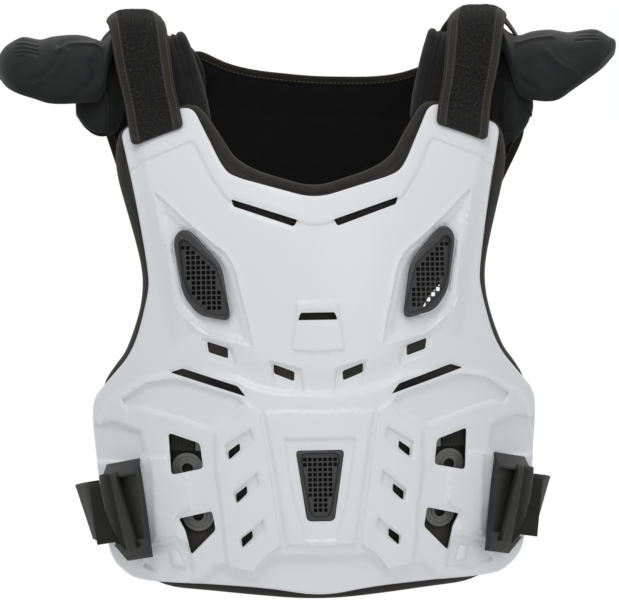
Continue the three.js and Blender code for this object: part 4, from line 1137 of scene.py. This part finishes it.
def smooth_path(points, steps, extra=()):
    """Points at even steps on a centripetal curve through the given ones, the ways along it and the lengths.
    Extra gives more places, as lengths from its start."""
    points = np.array(points, float)
    ends = [2 * points[0] - points[1], *points, 2 * points[-1] - points[-2]]
    fine = []
    for i in range(len(points) - 1):
        a, b, c, d = ends[i:i + 4]
        at = [0.0]
        for p, q in ((a, b), (b, c), (c, d)):
            at.append(at[-1] + max(np.linalg.norm(q - p), 1e-6) ** 0.5)
        for step in range(24):
            t = at[1] + (at[2] - at[1]) * step / 24
            one, two, three = (between(t, at[k], at[k + 1], *ends[i + k:i + k + 2]) for k in range(3))
            four, five = between(t, at[0], at[2], one, two), between(t, at[1], at[3], two, three)
            fine.append(between(t, at[1], at[2], four, five))
    fine.append(points[-1])
    fine = np.array(fine)
    length = np.concatenate([[0], np.cumsum(np.linalg.norm(np.diff(fine, axis=0), axis=1))])
    at = np.sort(np.concatenate([np.linspace(0, length[-1], steps + 1), extra]))
    path = np.stack([np.interp(at, length, fine[:, k]) for k in range(3)], axis=1)
    along = np.stack([np.interp(at + 1, length, fine[:, k]) - np.interp(at - 1, length, fine[:, k])
                      for k in range(3)], axis=1)
    along /= np.linalg.norm(along, axis=1)[:, None]
    return path, along, at


def unit(vector):
    vector = np.asarray(vector, float)
    return vector / np.linalg.norm(vector)


def across_plate(surface, x, z):
    return unit((2, surface(x + 1, z) - surface(x - 1, z), 0))


def across_between(front, over, behind):
    def at(share):
        if share < 0.5:
            t = np.clip((share - 0.15) / 0.25, 0, 1)
            return unit(front * (1 - t) + over * t)
        t = np.clip((share - 0.6) / 0.2, 0, 1)
        return unit(over * (1 - t) + behind * t)
    return at


def off_chest(x, z, stand):
    x, z = float(x), float(z)
    steep = steepness(chest_surface, np.array([x]), np.array([z]))[0]
    return np.array([x, float(chest_surface(np.array([x]), np.array([z]))[0]) - stand * steep, z])


def on_turned_back(x, z, lift):
    x, z = np.array([float(x)]), np.array([float(z)])
    y = back_surface(x, z) + lift * steepness(back_surface, x, z)
    return turned_back(np.stack([x, y, z], axis=1))[0]


def band_frames(path, along, across_at):
    frames = []
    count = len(path) - 1
    for i in range(count + 1):
        guess = across_at(i / count)
        out = unit(np.cross(guess, along[i]))
        across = unit(np.cross(along[i], out))
        frames.append((path[i], across, out))
    return frames


def sweep(frames, section):
    """A closed band. Section gives its (across, out) points for a share of the band's length."""
    points = []
    for index, (middle, across, out) in enumerate(frames):
        points += [middle + across * a + out * o for a, o in section(index / (len(frames) - 1))]
    return capped_tube(points, len(frames), len(points) // len(frames))


def strap_section(width, thick, hem, dip, corner=0.9):
    """Outline of a strap with raised, bound edges: counted along its outer face, then its inner one."""
    half = width / 2
    top = thick / 2
    outer = [(-half, 0), (-half + 0.15, top - corner * 0.5), (-half + corner, top),
             (-half + hem * 0.5, top + 0.2), (-half + hem - 0.8, top), (-half + hem, top - dip),
             (-half + hem + 1.2, top - dip * 0.85)]
    middle = [(a, top - dip * 0.7) for a in np.linspace(-half + hem + 3, half - hem - 3, 9)]
    outer = outer + middle + [(-a, o) for a, o in outer[::-1]]
    inner = [(a, -top) for a in np.linspace(half - corner, -half + corner, 9)]
    return outer + inner


def shoulder_strap_frames(side, steps):
    stand = GAP + SLACK + STRAP_THICK / 2
    # The left strap lies a little further out on the plate
    lean = 0.023 if side < 0 else 0.0
    tab_x, end_z = side * (STRAP_TAB[0] + lean) * STRAP_SPREAD, PLATE_TOP - STRAP_TAB[1] * PLATE_HEIGHT
    back_x, back_end = side * STRAP_BACK[0] * STRAP_SPREAD, BACK_TOP - STRAP_BACK[1] * BACK_HEIGHT
    start = off_chest(tab_x, end_z, stand + TAB_LIFT)
    tab = off_chest(tab_x * 1.035, PLATE_TOP, stand + TAB_LIFT)
    back_start = on_turned_back(back_x, BACK_TOP - 0.10 * BACK_HEIGHT, BACK_WALL + stand + 1)
    back_stop = on_turned_back(back_x * 0.97, back_end, BACK_WALL + stand)
    middle = []
    for out, back, rise in STRAP_ROWS:
        out += lean * max(0, 1 - back / 0.4)
        middle.append(np.array([side * out * STRAP_SPREAD, tab[1] + (back_start[1] - tab[1]) * back,
                                rise * STRAP_RISE]))
    path, along, at = smooth_path([start, tab, *middle, back_start, back_stop], steps, (0.3, 0.8, 1.6, 2.6))
    return band_frames(path, along, across_between(
        across_plate(chest_surface, tab_x, end_z), np.array([1.0, 0, 0]),
        across_plate(back_surface, back_x, back_end))), at


def strap_bow(share, across):
    """How far a strap's edges fall, most of all over the shoulder."""
    reach = abs(across) / (STRAP_WIDTH / 2)
    return 0.4 * reach ** 2 + 8.5 * math.exp(-((share - 0.5) / 0.17) ** 2) * reach ** 4


def build_shoulder_strap(word, side):
    frames, at = shoulder_strap_frames(side, 90)
    shape = strap_section(STRAP_WIDTH, STRAP_THICK, STRAP_HEM, 0.9)
    half = STRAP_WIDTH / 2

    def section(share):
        near = at[min(int(round(share * (len(frames) - 1))), len(at) - 1)]
        cut = STRAP_CORNER - math.sqrt(max(STRAP_CORNER ** 2 - max(STRAP_CORNER - near, 0) ** 2, 0))
        return [(a * (half - cut) / half, o - strap_bow(share, a)) for a, o in shape]

    points, faces = sweep(frames, section)
    size = len(shape)
    uv = np.array([(a * MM, at[index] * MM) for index in range(len(frames)) for a, _ in shape])
    strap = make_piece(f"loop_strap_{word}", points, faces, LOOP, [f"shoulder_strap_{word}"],
                       60, uv=uv)
    strap.data.materials.append(EDGE_TAPE)
    loops = []
    for polygon in strap.data.polygons:
        spread = [abs(shape[v % size][0]) for v in polygon.vertices]
        outer = all(shape[v % size][1] > 0 for v in polygon.vertices)
        if max(spread) > half - STRAP_HEM + 0.5 or len(polygon.vertices) > 4:
            polygon.material_index = 1
        elif outer:
            loops.append(list(polygon.vertices))
    grow_loops(f"loop_pile_{word}", points, loops, side)
    lines = []
    last = len(frames) - 1
    for place in (half - 7.6, half - 1.8):
        for turn in (1, -1):
            line = []
            for i, (middle, across, out) in enumerate(frames[3:-2]):
                lift = STRAP_THICK / 2 + 0.12 - strap_bow((i + 3) / last, place)
                line.append(middle + across * place * turn + out * lift)
            lines.append(np.array(line))
    stitch(f"strap_seam_{word}", lines, 3.4)


def shoulder_pad_frames(side, steps):
    behind_chest = -(LINER_FACE + LINER_THICK + PAD_BOW + PAD_THICK / 2)
    before_back = -(BACK_LINER_THICK + 5 * GAP + PAD_BOW + PAD_THICK / 2)
    front_x, back_x = side * PAD_TAB[0] * PAD_SPREAD, side * PAD_BACK[0] * PAD_SPREAD
    start = off_chest(front_x, PLATE_TOP - PAD_TAB[1] * PAD_DROP, behind_chest)
    tab = off_chest(front_x * 1.04, PLATE_TOP + 0.06 * PAD_DROP, behind_chest - 1)
    back_start = on_turned_back(back_x * 1.03, BACK_TOP - 0.34 * PAD_DROP, before_back - 1)
    back_stop = on_turned_back(back_x, BACK_TOP - PAD_BACK[1] * PAD_DROP, before_back)
    middle = [np.array([side * out * PAD_SPREAD, tab[1] + (back_start[1] - tab[1]) * back, rise * PAD_DROP])
              for out, back, rise in PAD_ROWS]
    path, along, _ = smooth_path([start, tab, *middle, back_start, back_stop], steps)
    rolled = np.array([math.cos(PAD_ROLL), 0, -side * math.sin(PAD_ROLL)])
    return band_frames(path, along, across_between(
        across_plate(chest_surface, front_x, start[2]), rolled,
        across_plate(back_surface, back_x, back_stop[2])))


def build_shoulder_pad(word, side):
    frames = shoulder_pad_frames(side, 110)
    half, top = PAD_WIDTH / 2, PAD_THICK / 2

    def section(share):
        shape = []
        rib = 0.18 * math.sin(share * 330)
        for step in range(48):
            angle = math.pi * step / 47
            a = -half * math.cos(angle)
            o = top * min(1.0, (math.sin(angle) * 2.2)) ** 0.6
            for depth, wide, place in PAD_SEAMS:
                o -= depth * math.exp(-((-side * a - half + place) / wide) ** 2)
            if abs(a) < half - PAD_SEAMS[0][2] and share > 0.2:
                o += rib - 0.35
            shape.append((a, o))
        for step in range(1, 15):
            angle = math.pi * step / 15
            shape.append((half * math.cos(angle), -top * min(1.0, math.sin(angle) * 1.8) ** 0.7))
        ease = min(1.0, share / 0.03, (1 - share) / 0.03) ** 0.5
        return [(a * (0.85 + 0.15 * ease), o * (0.35 + 0.65 * ease)) for a, o in shape]

    points, faces = sweep(frames, section)
    pad = make_piece(f"padded_band_{word}", points, faces, BAND, [f"shoulder_pad_{word}"], 70)


for word, side in SIDES.items():
    build_shoulder_strap(word, side)
    build_shoulder_pad(word, side)


# Shoulder cups and lobes

def arch_shell(rows, side, sizes, along_steps, spokes):
    """A closed arch of even thickness, from its table of sections."""
    rows = np.array(rows)
    at = np.linspace(0, len(rows) - 1, along_steps)
    table = np.stack([cubic(rows[:, k], at) for k in range(4)], axis=1)
    points = []
    for out, crest, drop, deep in table:
        for shrink in (0, sizes["thick"]):
            spread = range(spokes + 1) if shrink == 0 else reversed(range(spokes + 1))
            for i in spread:
                angle = -math.pi / 2 + math.pi * i / spokes
                points.append((
                    side * out * sizes["reach"],
                    sizes["centre"] + max(deep * sizes["deep"] - shrink, shrink / 2) * math.sin(angle),
                    crest * sizes["drop"] - shrink - drop * sizes["drop"] * (1 - math.cos(angle))
                    + sizes["rear_rise"] * min(deep, drop) * max(math.sin(angle), 0) ** 3,
                ))
    size = 2 * (spokes + 1)
    faces = tube_faces(along_steps, size)
    last = (along_steps - 1) * size
    for i in range(spokes):
        faces.append([i, i + 1, size - 2 - i, size - 1 - i][::-1])
        faces.append([last + i, last + i + 1, last + size - 2 - i, last + size - 1 - i])
    return outwards(points, faces)


def inflated(name, points, faces, cap):
    """Swells a form as sewn cloth over foam, by at most the cap, and subdivides it once."""
    body = loose_object(name, points * MM, faces)
    start = np.array([tuple(v.co) for v in body.data.vertices])
    cloth = body.modifiers.new("cloth", "CLOTH")
    cloth.settings.use_pressure = True
    cloth.settings.uniform_pressure_force = 4
    cloth.settings.quality = 4
    cloth.settings.effector_weights.gravity = 0
    cloth.point_cache.frame_end = 20
    scene = bpy.context.scene
    for frame_number in range(1, 21):
        scene.frame_set(frame_number)
    graph = bpy.context.evaluated_depsgraph_get()
    swollen = body.evaluated_get(graph).to_mesh()
    moved_to = np.array([tuple(v.co) for v in swollen.vertices])
    body.evaluated_get(graph).to_mesh_clear()
    body.modifiers.remove(cloth)
    scene.frame_set(1)
    way = moved_to - start
    length = np.maximum(np.linalg.norm(way, axis=1), 1e-9)[:, None]
    start = start + way * np.minimum(1, cap * MM / length)
    body.data.vertices.foreach_set("co", start.ravel())
    smooth = body.modifiers.new("smooth", "SMOOTH")
    smooth.factor, smooth.iterations = 0.5, 1
    finer = body.modifiers.new("finer", "SUBSURF")
    finer.levels = finer.render_levels = 1
    body = evaluated_mesh(body, name)
    made = np.array([tuple(v.co) for v in body.data.vertices]) / MM
    normals = np.array([tuple(v.normal) for v in body.data.vertices])
    faces = [list(p.vertices) for p in body.data.polygons]
    mesh = body.data
    bpy.data.objects.remove(body)
    bpy.data.meshes.remove(mesh)
    return made, faces, normals


def cubic(values, at):
    """Reads values on a smooth curve through them."""
    low = np.clip(np.floor(at).astype(int), 0, len(values) - 2)
    share = at - low
    slopes = np.gradient(values)
    square, cube = share ** 2, share ** 3
    return (values[low] * (2 * cube - 3 * square + 1) + slopes[low] * (cube - 2 * square + share)
            + values[low + 1] * (3 * square - 2 * cube) + slopes[low + 1] * (cube - square))


def as_seen(points):
    """Where points stand in the front view: across and down, in steps of VIEW_STEP at the chest."""
    offset = points - np.array([0, VIEW_AIM[1], VIEW_AIM[2]])
    away = VIEW_AWAY + offset[:, 0] * math.sin(VIEW_TURN) + offset[:, 1] * math.cos(VIEW_TURN)
    sideways = offset[:, 0] * math.cos(VIEW_TURN) - offset[:, 1] * math.sin(VIEW_TURN)
    u, w = (length * VIEW_AWAY / away / VIEW_STEP for length in (sideways, offset[:, 2]))
    return np.stack([VIEW_MIDDLE[0] + u * math.cos(VIEW_ROLL) - w * math.sin(VIEW_ROLL),
                     VIEW_MIDDLE[1] - u * math.sin(VIEW_ROLL) - w * math.cos(VIEW_ROLL)], axis=1)


# Ridges (above zero) and creases (below) of the cups and lobes in the front view: height, half width, line
CREASES = {
    ("cup", "left"): [
        (1.6, 1.5, [(57.6, 51.6), (67, 46.5), (94, 45), (104, 46.5)]),
        (-2.2, 3.2, [(60, 45), (70, 41), (92, 39)]),
        (1.7, 1.8, [(65.6, 52), (64.3, 60), (59, 68.3), (48.2, 77.7), (33.5, 85.7)]),
        (-1.2, 3.5, [(58, 55), (54, 64), (43, 73), (30, 79)]),
        (1.0, 1.6, [(44, 66), (40, 72), (27, 78)]),
        (-1.3, 1.3, [(17.5, 42), (27, 42.6), (37, 41.8)]),
        (-1.3, 1.3, [(16.5, 46), (27, 46.6), (37, 45.8)]),
        (-1.3, 1.3, [(16.5, 50), (27, 50.6), (37, 49.6)]),
        (-1.3, 1.3, [(16.5, 54), (27, 54.4), (37, 53.4)]),
        (-1.0, 1.2, [(18.5, 58), (25, 58.4)]),
        (-0.9, 1.1, [(9, 78), (22, 87), (41, 95), (56, 99), (70, 97)]),
        (-1.6, 3.0, [(92, 63), (96, 76), (88, 86), (76, 94)]),
    ],
    ("cup", "right"): [
        (1.5, 1.5, [(516, 42), (524, 40), (553, 38.3)]),
        (-1.8, 3.0, [(523, 36), (545, 34.5)]),
        (1.8, 1.9, [(548, 53), (554.5, 61), (566, 67.3), (577, 73.6)]),
        (-1.6, 3.4, [(543, 58), (550, 67), (561, 74)]),
        (-1.8, 7.0, [(571, 54), (572, 55)]),
        (-1.3, 1.2, [(577, 33.4), (598, 34.2)]),
        (-1.3, 1.2, [(580, 36.6), (595, 37.6)]),
        (-1.3, 1.2, [(577, 40), (596, 41)]),
        (-2.2, 2.8, [(508.8, 62), (519, 76), (528, 84), (536, 88)]),
        (-0.9, 1.1, [(608, 52), (596, 65), (583, 74), (568, 85), (553, 97)]),
    ],
    ("lobe", "left"): [
        (-2.4, 2.4, [(108, 84), (112, 107), (111, 126)]),
        (1.3, 1.6, [(103, 84), (106, 108), (104, 128)]),
        (-0.9, 1.1, [(82, 114), (88, 122), (100, 128), (118, 128)]),
    ],
    ("lobe", "right"): [
        (1.6, 1.6, [(507.6, 81), (516.4, 89), (528, 109), (532, 117)]),
        (-2.4, 2.4, [(503, 88), (501, 108), (502, 126)]),
        (-1.4, 1.4, [(502, 133), (514, 128), (530, 118)]),
        (-0.9, 1.1, [(502, 142), (514, 138), (528, 130)]),
    ],
}


# Rises and dips of the cups' tops: height, middle and half width in the front view
TOPS = {
    "left": [(2.2, 23, 9), (-1.6, 42, 7), (1.8, 76, 18), (-2.0, 104, 7)],
    "right": [(1.6, 592, 12), (-1.2, 568, 9), (1.4, 545, 14), (-1.6, 520, 8)],
}


def build_shoulder_pieces(word, side):
    for kind, rows, sizes, steps in (("cup", CUP_ROWS, CUP, (60, 64)), ("lobe", LOBE_ROWS, LOBE, (44, 44))):
        points, faces = arch_shell(rows[word], side, {**sizes, "thick": sizes["thick"] - 1.5}, *steps)
        points, faces, normals = inflated(f"{kind}_form", points, faces, 2.0)
        seen = as_seen(points)
        facing = np.clip((-normals[:, 1] + 0.25) * 1.6, 0, 1)
        shift = np.zeros(len(points))
        for height, width, line in CREASES[(kind, word)]:
            away = line_distance(seen, np.array(line, float), False)
            shift += height * np.exp(-(away / width) ** 2)
        points = points + normals * (shift * facing)[:, None]
        if kind == "cup":
            for height, middle, width in TOPS[word]:
                rise = height * np.exp(-((seen[:, 0] - middle) / width) ** 2)
                points[:, 2] += rise * np.clip(normals[:, 2] * 1.3, 0, 1)
        piece = make_piece(f"padded_{kind}_{word}", points, faces, CUP_CLOTH, [f"shoulder_{kind}_{word}"],
                           0)


# Middle line of the webbing beside the right strap
TETHER_PATH = [(158, 20, 19.5), (166, 21, 19), (174, 22, 13), (181, 23, 4), (186, 24, -4)]


def build_tether(word, side):
    """Short webbing from the top of a strap down to the root of its cup."""
    low = 0 if side > 0 else 11
    path, along, at = smooth_path([(side * x, y, z - low) for x, y, z in TETHER_PATH], 30)
    frames = band_frames(path, along, lambda share: np.array([0, 0.94, 0.34]))
    half, top = 15, 0.9
    shape = [(-half, 0), (-half + 0.6, top), (-half + 2, top * 0.8)]
    shape += [(a, top * 0.8) for a in (-9, -3, 3, 9)] + [(-a, o) for a, o in shape[::-1]]
    shape += [(a, -o) for a, o in shape[1:-1][::-1]]
    points, faces = sweep(frames, lambda share: shape)
    uv = np.array([(a * MM, at[i] * MM) for i in range(len(frames)) for a, _ in shape])
    make_piece(f"cup_tether_{word}", points, faces, WEB, [], 50, uv=uv)


for word, side in SIDES.items():
    build_shoulder_pieces(word, side)
    build_tether(word, side)


# Buckles and side straps

def buckle_place(side):
    """Matrix of a buckle's own frame, in millimetres: X along the plate, Y square to it, Z up."""
    x = side * BUCKLE_OUT
    y = float(chest_surface(np.array([float(x)]), np.array([float(BUCKLE_DOWN)]))[0])
    turn = Matrix.Rotation(side * BUCKLE_TURN, 4, "Z") @ Matrix.Rotation(side * BUCKLE_LEAN, 4, "Y")
    return Matrix.Translation((x, y, BUCKLE_DOWN)) @ turn


def profile_solid(profile, from_x, to_x):
    """A prism with this outline in Y and Z, between two places along X."""
    count = len(profile)
    points = [(x, y, z) for x in (from_x, to_x) for y, z in profile]
    faces = [[i, (i + 1) % count, count + (i + 1) % count, count + i] for i in range(count)]
    faces += [list(range(count))[::-1], list(range(count, 2 * count))]
    return outwards(points, faces)


def cut_and_bevel(body, cutters, bevel, segments=3):
    """Cuts boxes out of a body, bevels its edges and returns plain points and faces."""
    for cutter in cutters:
        cut = body.modifiers.new("cut", "BOOLEAN")
        cut.operation, cut.solver, cut.object = "DIFFERENCE", "EXACT", cutter
    edge = body.modifiers.new("edge", "BEVEL")
    edge.width, edge.segments = bevel, segments
    edge.limit_method, edge.angle_limit = "ANGLE", math.radians(30)
    edge.harden_normals = False
    graph = bpy.context.evaluated_depsgraph_get()
    mesh = bpy.data.meshes.new_from_object(body.evaluated_get(graph))
    points = np.array([tuple(v.co) for v in mesh.vertices])
    faces = [list(p.vertices) for p in mesh.polygons]
    for obj in [body, *cutters]:
        bpy.data.objects.remove(obj)
    bpy.data.meshes.remove(mesh)
    return points, faces


def box_cutter(low, high):
    low, high = np.minimum(low, high), np.maximum(low, high)
    return loose_object("cutter", *profile_solid(
        [(low[1], low[2]), (high[1], low[2]), (high[1], high[2]), (low[1], high[2])], low[0], high[0]))


def moved(points, matrix):
    return np.array([tuple(matrix @ Vector(p)) for p in points])


BUCKLE_FRONT = -(BUCKLE_LIFT + BUCKLE_DEPTH)
BAR_INNER = BUCKLE_WIDTH / 2 - BAR_WIDE


def skewed(points, side):
    """Draws a buckle's front towards the middle of the plate."""
    points = np.array(points, float)
    points[:, 0] -= side * 0.62 * np.clip(-points[:, 1] - BUCKLE_LIFT - BAR_DEEP, 0, None)
    return points


def slanted_block(corners, side):
    """A block through the whole depth of a buckle, from corners in X and Z."""
    points, faces = profile_solid([(z, x * side) for x, z in corners], 3 * BUCKLE_FRONT, BUCKLE_DEPTH)
    return outwards(np.stack([points[:, 2], points[:, 0], points[:, 1]], axis=1), faces)


def build_buckle(word, side):
    place = buckle_place(side)
    half = BUCKLE_HEIGHT / 2
    body = loose_object("frame", *profile_solid([
        (-BUCKLE_LIFT, -half), (-BUCKLE_LIFT, half), (BUCKLE_FRONT, half - 0.8 * BUCKLE_DEPTH),
        (BUCKLE_FRONT, -half + BUCKLE_DEPTH), (-BUCKLE_LIFT - BUCKLE_DEPTH / 3, -half)],
        -BUCKLE_WIDTH / 2, BUCKLE_WIDTH / 2))
    room = WEB_WIDTH / 2 + 2
    slot_inner = BAR_INNER - 8
    slot = box_cutter((side * slot_inner, 2 * BUCKLE_FRONT, -room), (side * BAR_INNER, BUCKLE_DEPTH, room))
    recess = box_cutter((side * slot_inner, 2 * BUCKLE_FRONT, -room),
                        (side * BUCKLE_WIDTH, -BUCKLE_LIFT - BAR_DEEP, room))
    tray = box_cutter((-BUCKLE_WIDTH, 2 * BUCKLE_FRONT, -half + 16),
                      (BUCKLE_WIDTH, -BUCKLE_LIFT - BAR_DEEP - 3, half - 14))
    foot = loose_object("cutter", *slanted_block([(20, -20), (30, -20), (30, -50), (1, -50)], side))
    points, faces = cut_and_bevel(body, [slot, recess, tray, foot], 0.9)
    make_piece(f"ladder_buckle_{word}", moved(skewed(points, side), place), faces, BUCKLE,
               [f"buckle_frame_{word}"], 35)


# Sections of a lever from its top down: height, how far its outer edge draws in, how far its face lies back
LEVER_ROWS = [
    (33, 3, 3.4), (31, 1, 1.4), (20, 0, 0.4), (4, 0, 0), (-10, 2.5, 0.4), (-25, 8, 1.6), (-33, 13, 3.0),
]


def build_lever(word, side):
    """A closed lever: a tapered bar with ribs across its face."""
    place = buckle_place(side)
    fine = np.linspace(0, len(LEVER_ROWS) - 1, 25)
    table = np.stack([np.interp(fine, range(len(LEVER_ROWS)), column) for column in zip(*LEVER_ROWS)], axis=1)
    back, front = BUCKLE_FRONT + 6, BUCKLE_FRONT - GAP - 5
    inner, outer = BAR_INNER - 13, BUCKLE_WIDTH / 2
    ribs = np.linspace(inner + 5, outer - 2.4, 17)
    points = []
    for z, narrow, low in table:
        edge = outer - narrow
        wide = inner - 5.0 + 3.0 * z / LEVER_ROWS[0][0]
        row = [(wide, back), (wide, front + 3.4 + low), (wide + 2.2, front + 0.6 + low),
               (wide + 4, front + low)]
        for i, x in enumerate(ribs):
            row.append((min(x, edge), front + low + (0.75 if i % 2 else 0.0)
                        + 2.2 * max(0, (x - inner - 9) / 9) ** 2))
        row += [(edge, front + low + 5.5), (edge, back)]
        points += [(side * (x + 3.5 * z / LEVER_ROWS[0][0] + 1.0), y, z) for x, y in row]
    points, faces = capped_tube(points, len(table), len(row))
    make_piece(f"lever_{word}", moved(skewed(points, side), place), faces, BUCKLE, [f"buckle_lever_{word}"],
               50)


def build_side_strap(word, side):
    place = buckle_place(side)
    stand = GAP + WEB_THICK / 2
    front_y, rear_y = -BUCKLE_LIFT - BAR_DEEP - stand, -BUCKLE_LIFT + stand
    radius = (rear_y - front_y) / 2
    upright = np.array(tuple(place.to_3x3() @ Vector((0, 0, 1))))
    local = [(TAIL + BAR_INNER, front_y - 3), (0.5 * TAIL + BAR_INNER, front_y - 1)]
    for i in range(13):
        angle = i / 12 * math.pi
        local.append((BAR_INNER - radius * math.sin(angle), front_y + radius - radius * math.cos(angle)))
    local.append((BUCKLE_WIDTH / 2, rear_y))
    stops = [(np.array(tuple(place @ Vector((side * x, y, 0)))), upright) for x, y in local]
    for out, back, lean, fall in WEB_ROWS:
        lean = math.radians(lean)
        stops.append((np.array([side * out * WEB_REACH, back * WEB_REACH, BUCKLE_DOWN - fall * WEB_WIDTH]),
                      np.array([side * math.sin(lean), 0, math.cos(lean)])))
    for share in (0.62, 0.5):
        stop = on_turned_back(side * share * BACK_WIDTH / 2, BUCKLE_DOWN - WEB_ROWS[-1][3] * WEB_WIDTH,
                              BACK_WALL + stand + 3 * SLACK)
        stops.append((stop, np.array([0, 0, 1.0])))
    path, along, at = smooth_path([stop[0] for stop in stops], 150)
    steps = [np.linalg.norm(b[0] - a[0]) for a, b in zip(stops, stops[1:])]
    lengths = np.concatenate([[0], np.cumsum(steps)])
    uprights = np.array([stop[1] for stop in stops])
    frames = []
    for i, (middle, way) in enumerate(zip(path, along)):
        where = at[i] / at[-1] * lengths[-1]
        up = unit([np.interp(where, lengths, uprights[:, k]) for k in range(3)])
        out = unit(np.cross(up, way))
        frames.append((middle, unit(np.cross(way, out)), out))
    half, top = WEB_WIDTH / 2, WEB_THICK / 2
    outer = [(-half, 0), (-half + 0.3, top * 0.8), (-half + 1.5, top), (-half + 3, top * 0.85)]
    middle = [(a, top * 0.85) for a in np.linspace(-half + 6, half - 6, 7)]
    outer = outer + middle + [(-a, o) for a, o in outer[::-1]]
    shape = outer + [(a, -o) for a, o in outer[1:-1][::-1]]
    points, faces = sweep(frames, lambda share: shape)
    uv = np.array([(a * MM, at[i] * MM) for i in range(len(frames)) for a, _ in shape])
    make_piece(f"webbing_{word}", points, faces, WEB, [f"side_strap_{word}"], 50, uv=uv)


for word, side in SIDES.items():
    build_buckle(word, side)
    build_lever(word, side)
    build_side_strap(word, side)


# Camera, light and floor

def build_studio():
    scene = bpy.context.scene
    aim = np.array(VIEW_AIM) * MM
    forward = np.array([math.sin(VIEW_TURN), math.cos(VIEW_TURN), 0])
    camera_data = bpy.data.cameras.new("camera")
    camera_data.lens, camera_data.sensor_width, camera_data.clip_end = 180, 36, 50
    camera = bpy.data.objects.new("camera", camera_data)
    camera.location = aim - forward * VIEW_AWAY * MM
    look = Vector(forward).to_track_quat("-Z", "Y").to_matrix().to_4x4()
    roll = Matrix.Rotation(-VIEW_ROLL, 4, "Z")
    camera.matrix_world = Matrix.Translation(camera.location) @ look @ roll
    scene.collection.objects.link(camera)
    scene.camera = camera

    world = bpy.data.worlds.new("studio")
    scene.world = world
    world.use_nodes = True
    tree = world.node_tree
    tree.nodes.clear()
    # White behind the object, softer before it, and brighter above than below
    way = tree.nodes.new("ShaderNodeTexCoord").outputs["Generated"]
    parts = wired(tree, "ShaderNodeSeparateXYZ", Vector=way)
    behind = wired(tree, "ShaderNodeMapRange", {"interpolation_type": "SMOOTHSTEP"}, Value=parts.outputs[1],
                   i1=0.35, i2=0.85, i3=0.0, i4=1.0).outputs[0]
    around = wired(tree, "ShaderNodeMapRange", Value=parts.outputs[2], i1=-1.0, i2=1.0, i3=0.36,
                   i4=0.70).outputs[0]
    strength = maths(tree, "ADD", maths(tree, "MULTIPLY", around, maths(tree, "SUBTRACT", 1.0, behind)),
                     behind)
    sky = wired(tree, "ShaderNodeBackground", Color=(1, 1, 1, 1), Strength=strength)
    end = tree.nodes.new("ShaderNodeOutputWorld")
    tree.links.new(sky.outputs[0], end.inputs[0])
    scene.view_settings.view_transform = "Standard"

    def soft_light(name, place, size, power):
        light = bpy.data.lights.new(name, "AREA")
        light.shape, light.size, light.energy = "DISK", size, power
        lamp = bpy.data.objects.new(name, light)
        lamp.location = place
        lamp.rotation_euler = (Vector((0, 0, -0.24)) - Vector(place)).to_track_quat("-Z", "Y").to_euler()
        scene.collection.objects.link(lamp)

    soft_light("key", (-0.4, -1.6, 1.9), 1.0, 17)
    soft_light("fill", (0.9, -2.4, 0.6), 1.2, 6)
    soft_light("rim", (0.2, 1.4, 1.6), 1.0, 7)

    mesh = bpy.data.meshes.new("floor")
    radius, back, down, count = 1.1, -0.92, -0.60, 96
    ring = [(radius * math.cos(a), back + radius * math.sin(a), down)
            for a in np.linspace(0, 2 * math.pi, count, endpoint=False)]
    mesh.from_pydata(ring, [], [list(range(count))])
    floor = bpy.data.objects.new("floor", mesh)
    material, tree, shader = new_material("pale floor")
    shader.inputs["Base Color"].default_value = (0.86, 0.86, 0.86, 1)
    shader.inputs["Roughness"].default_value = 0.8
    mesh.materials.append(material)
    scene.collection.objects.link(floor)


build_studio()
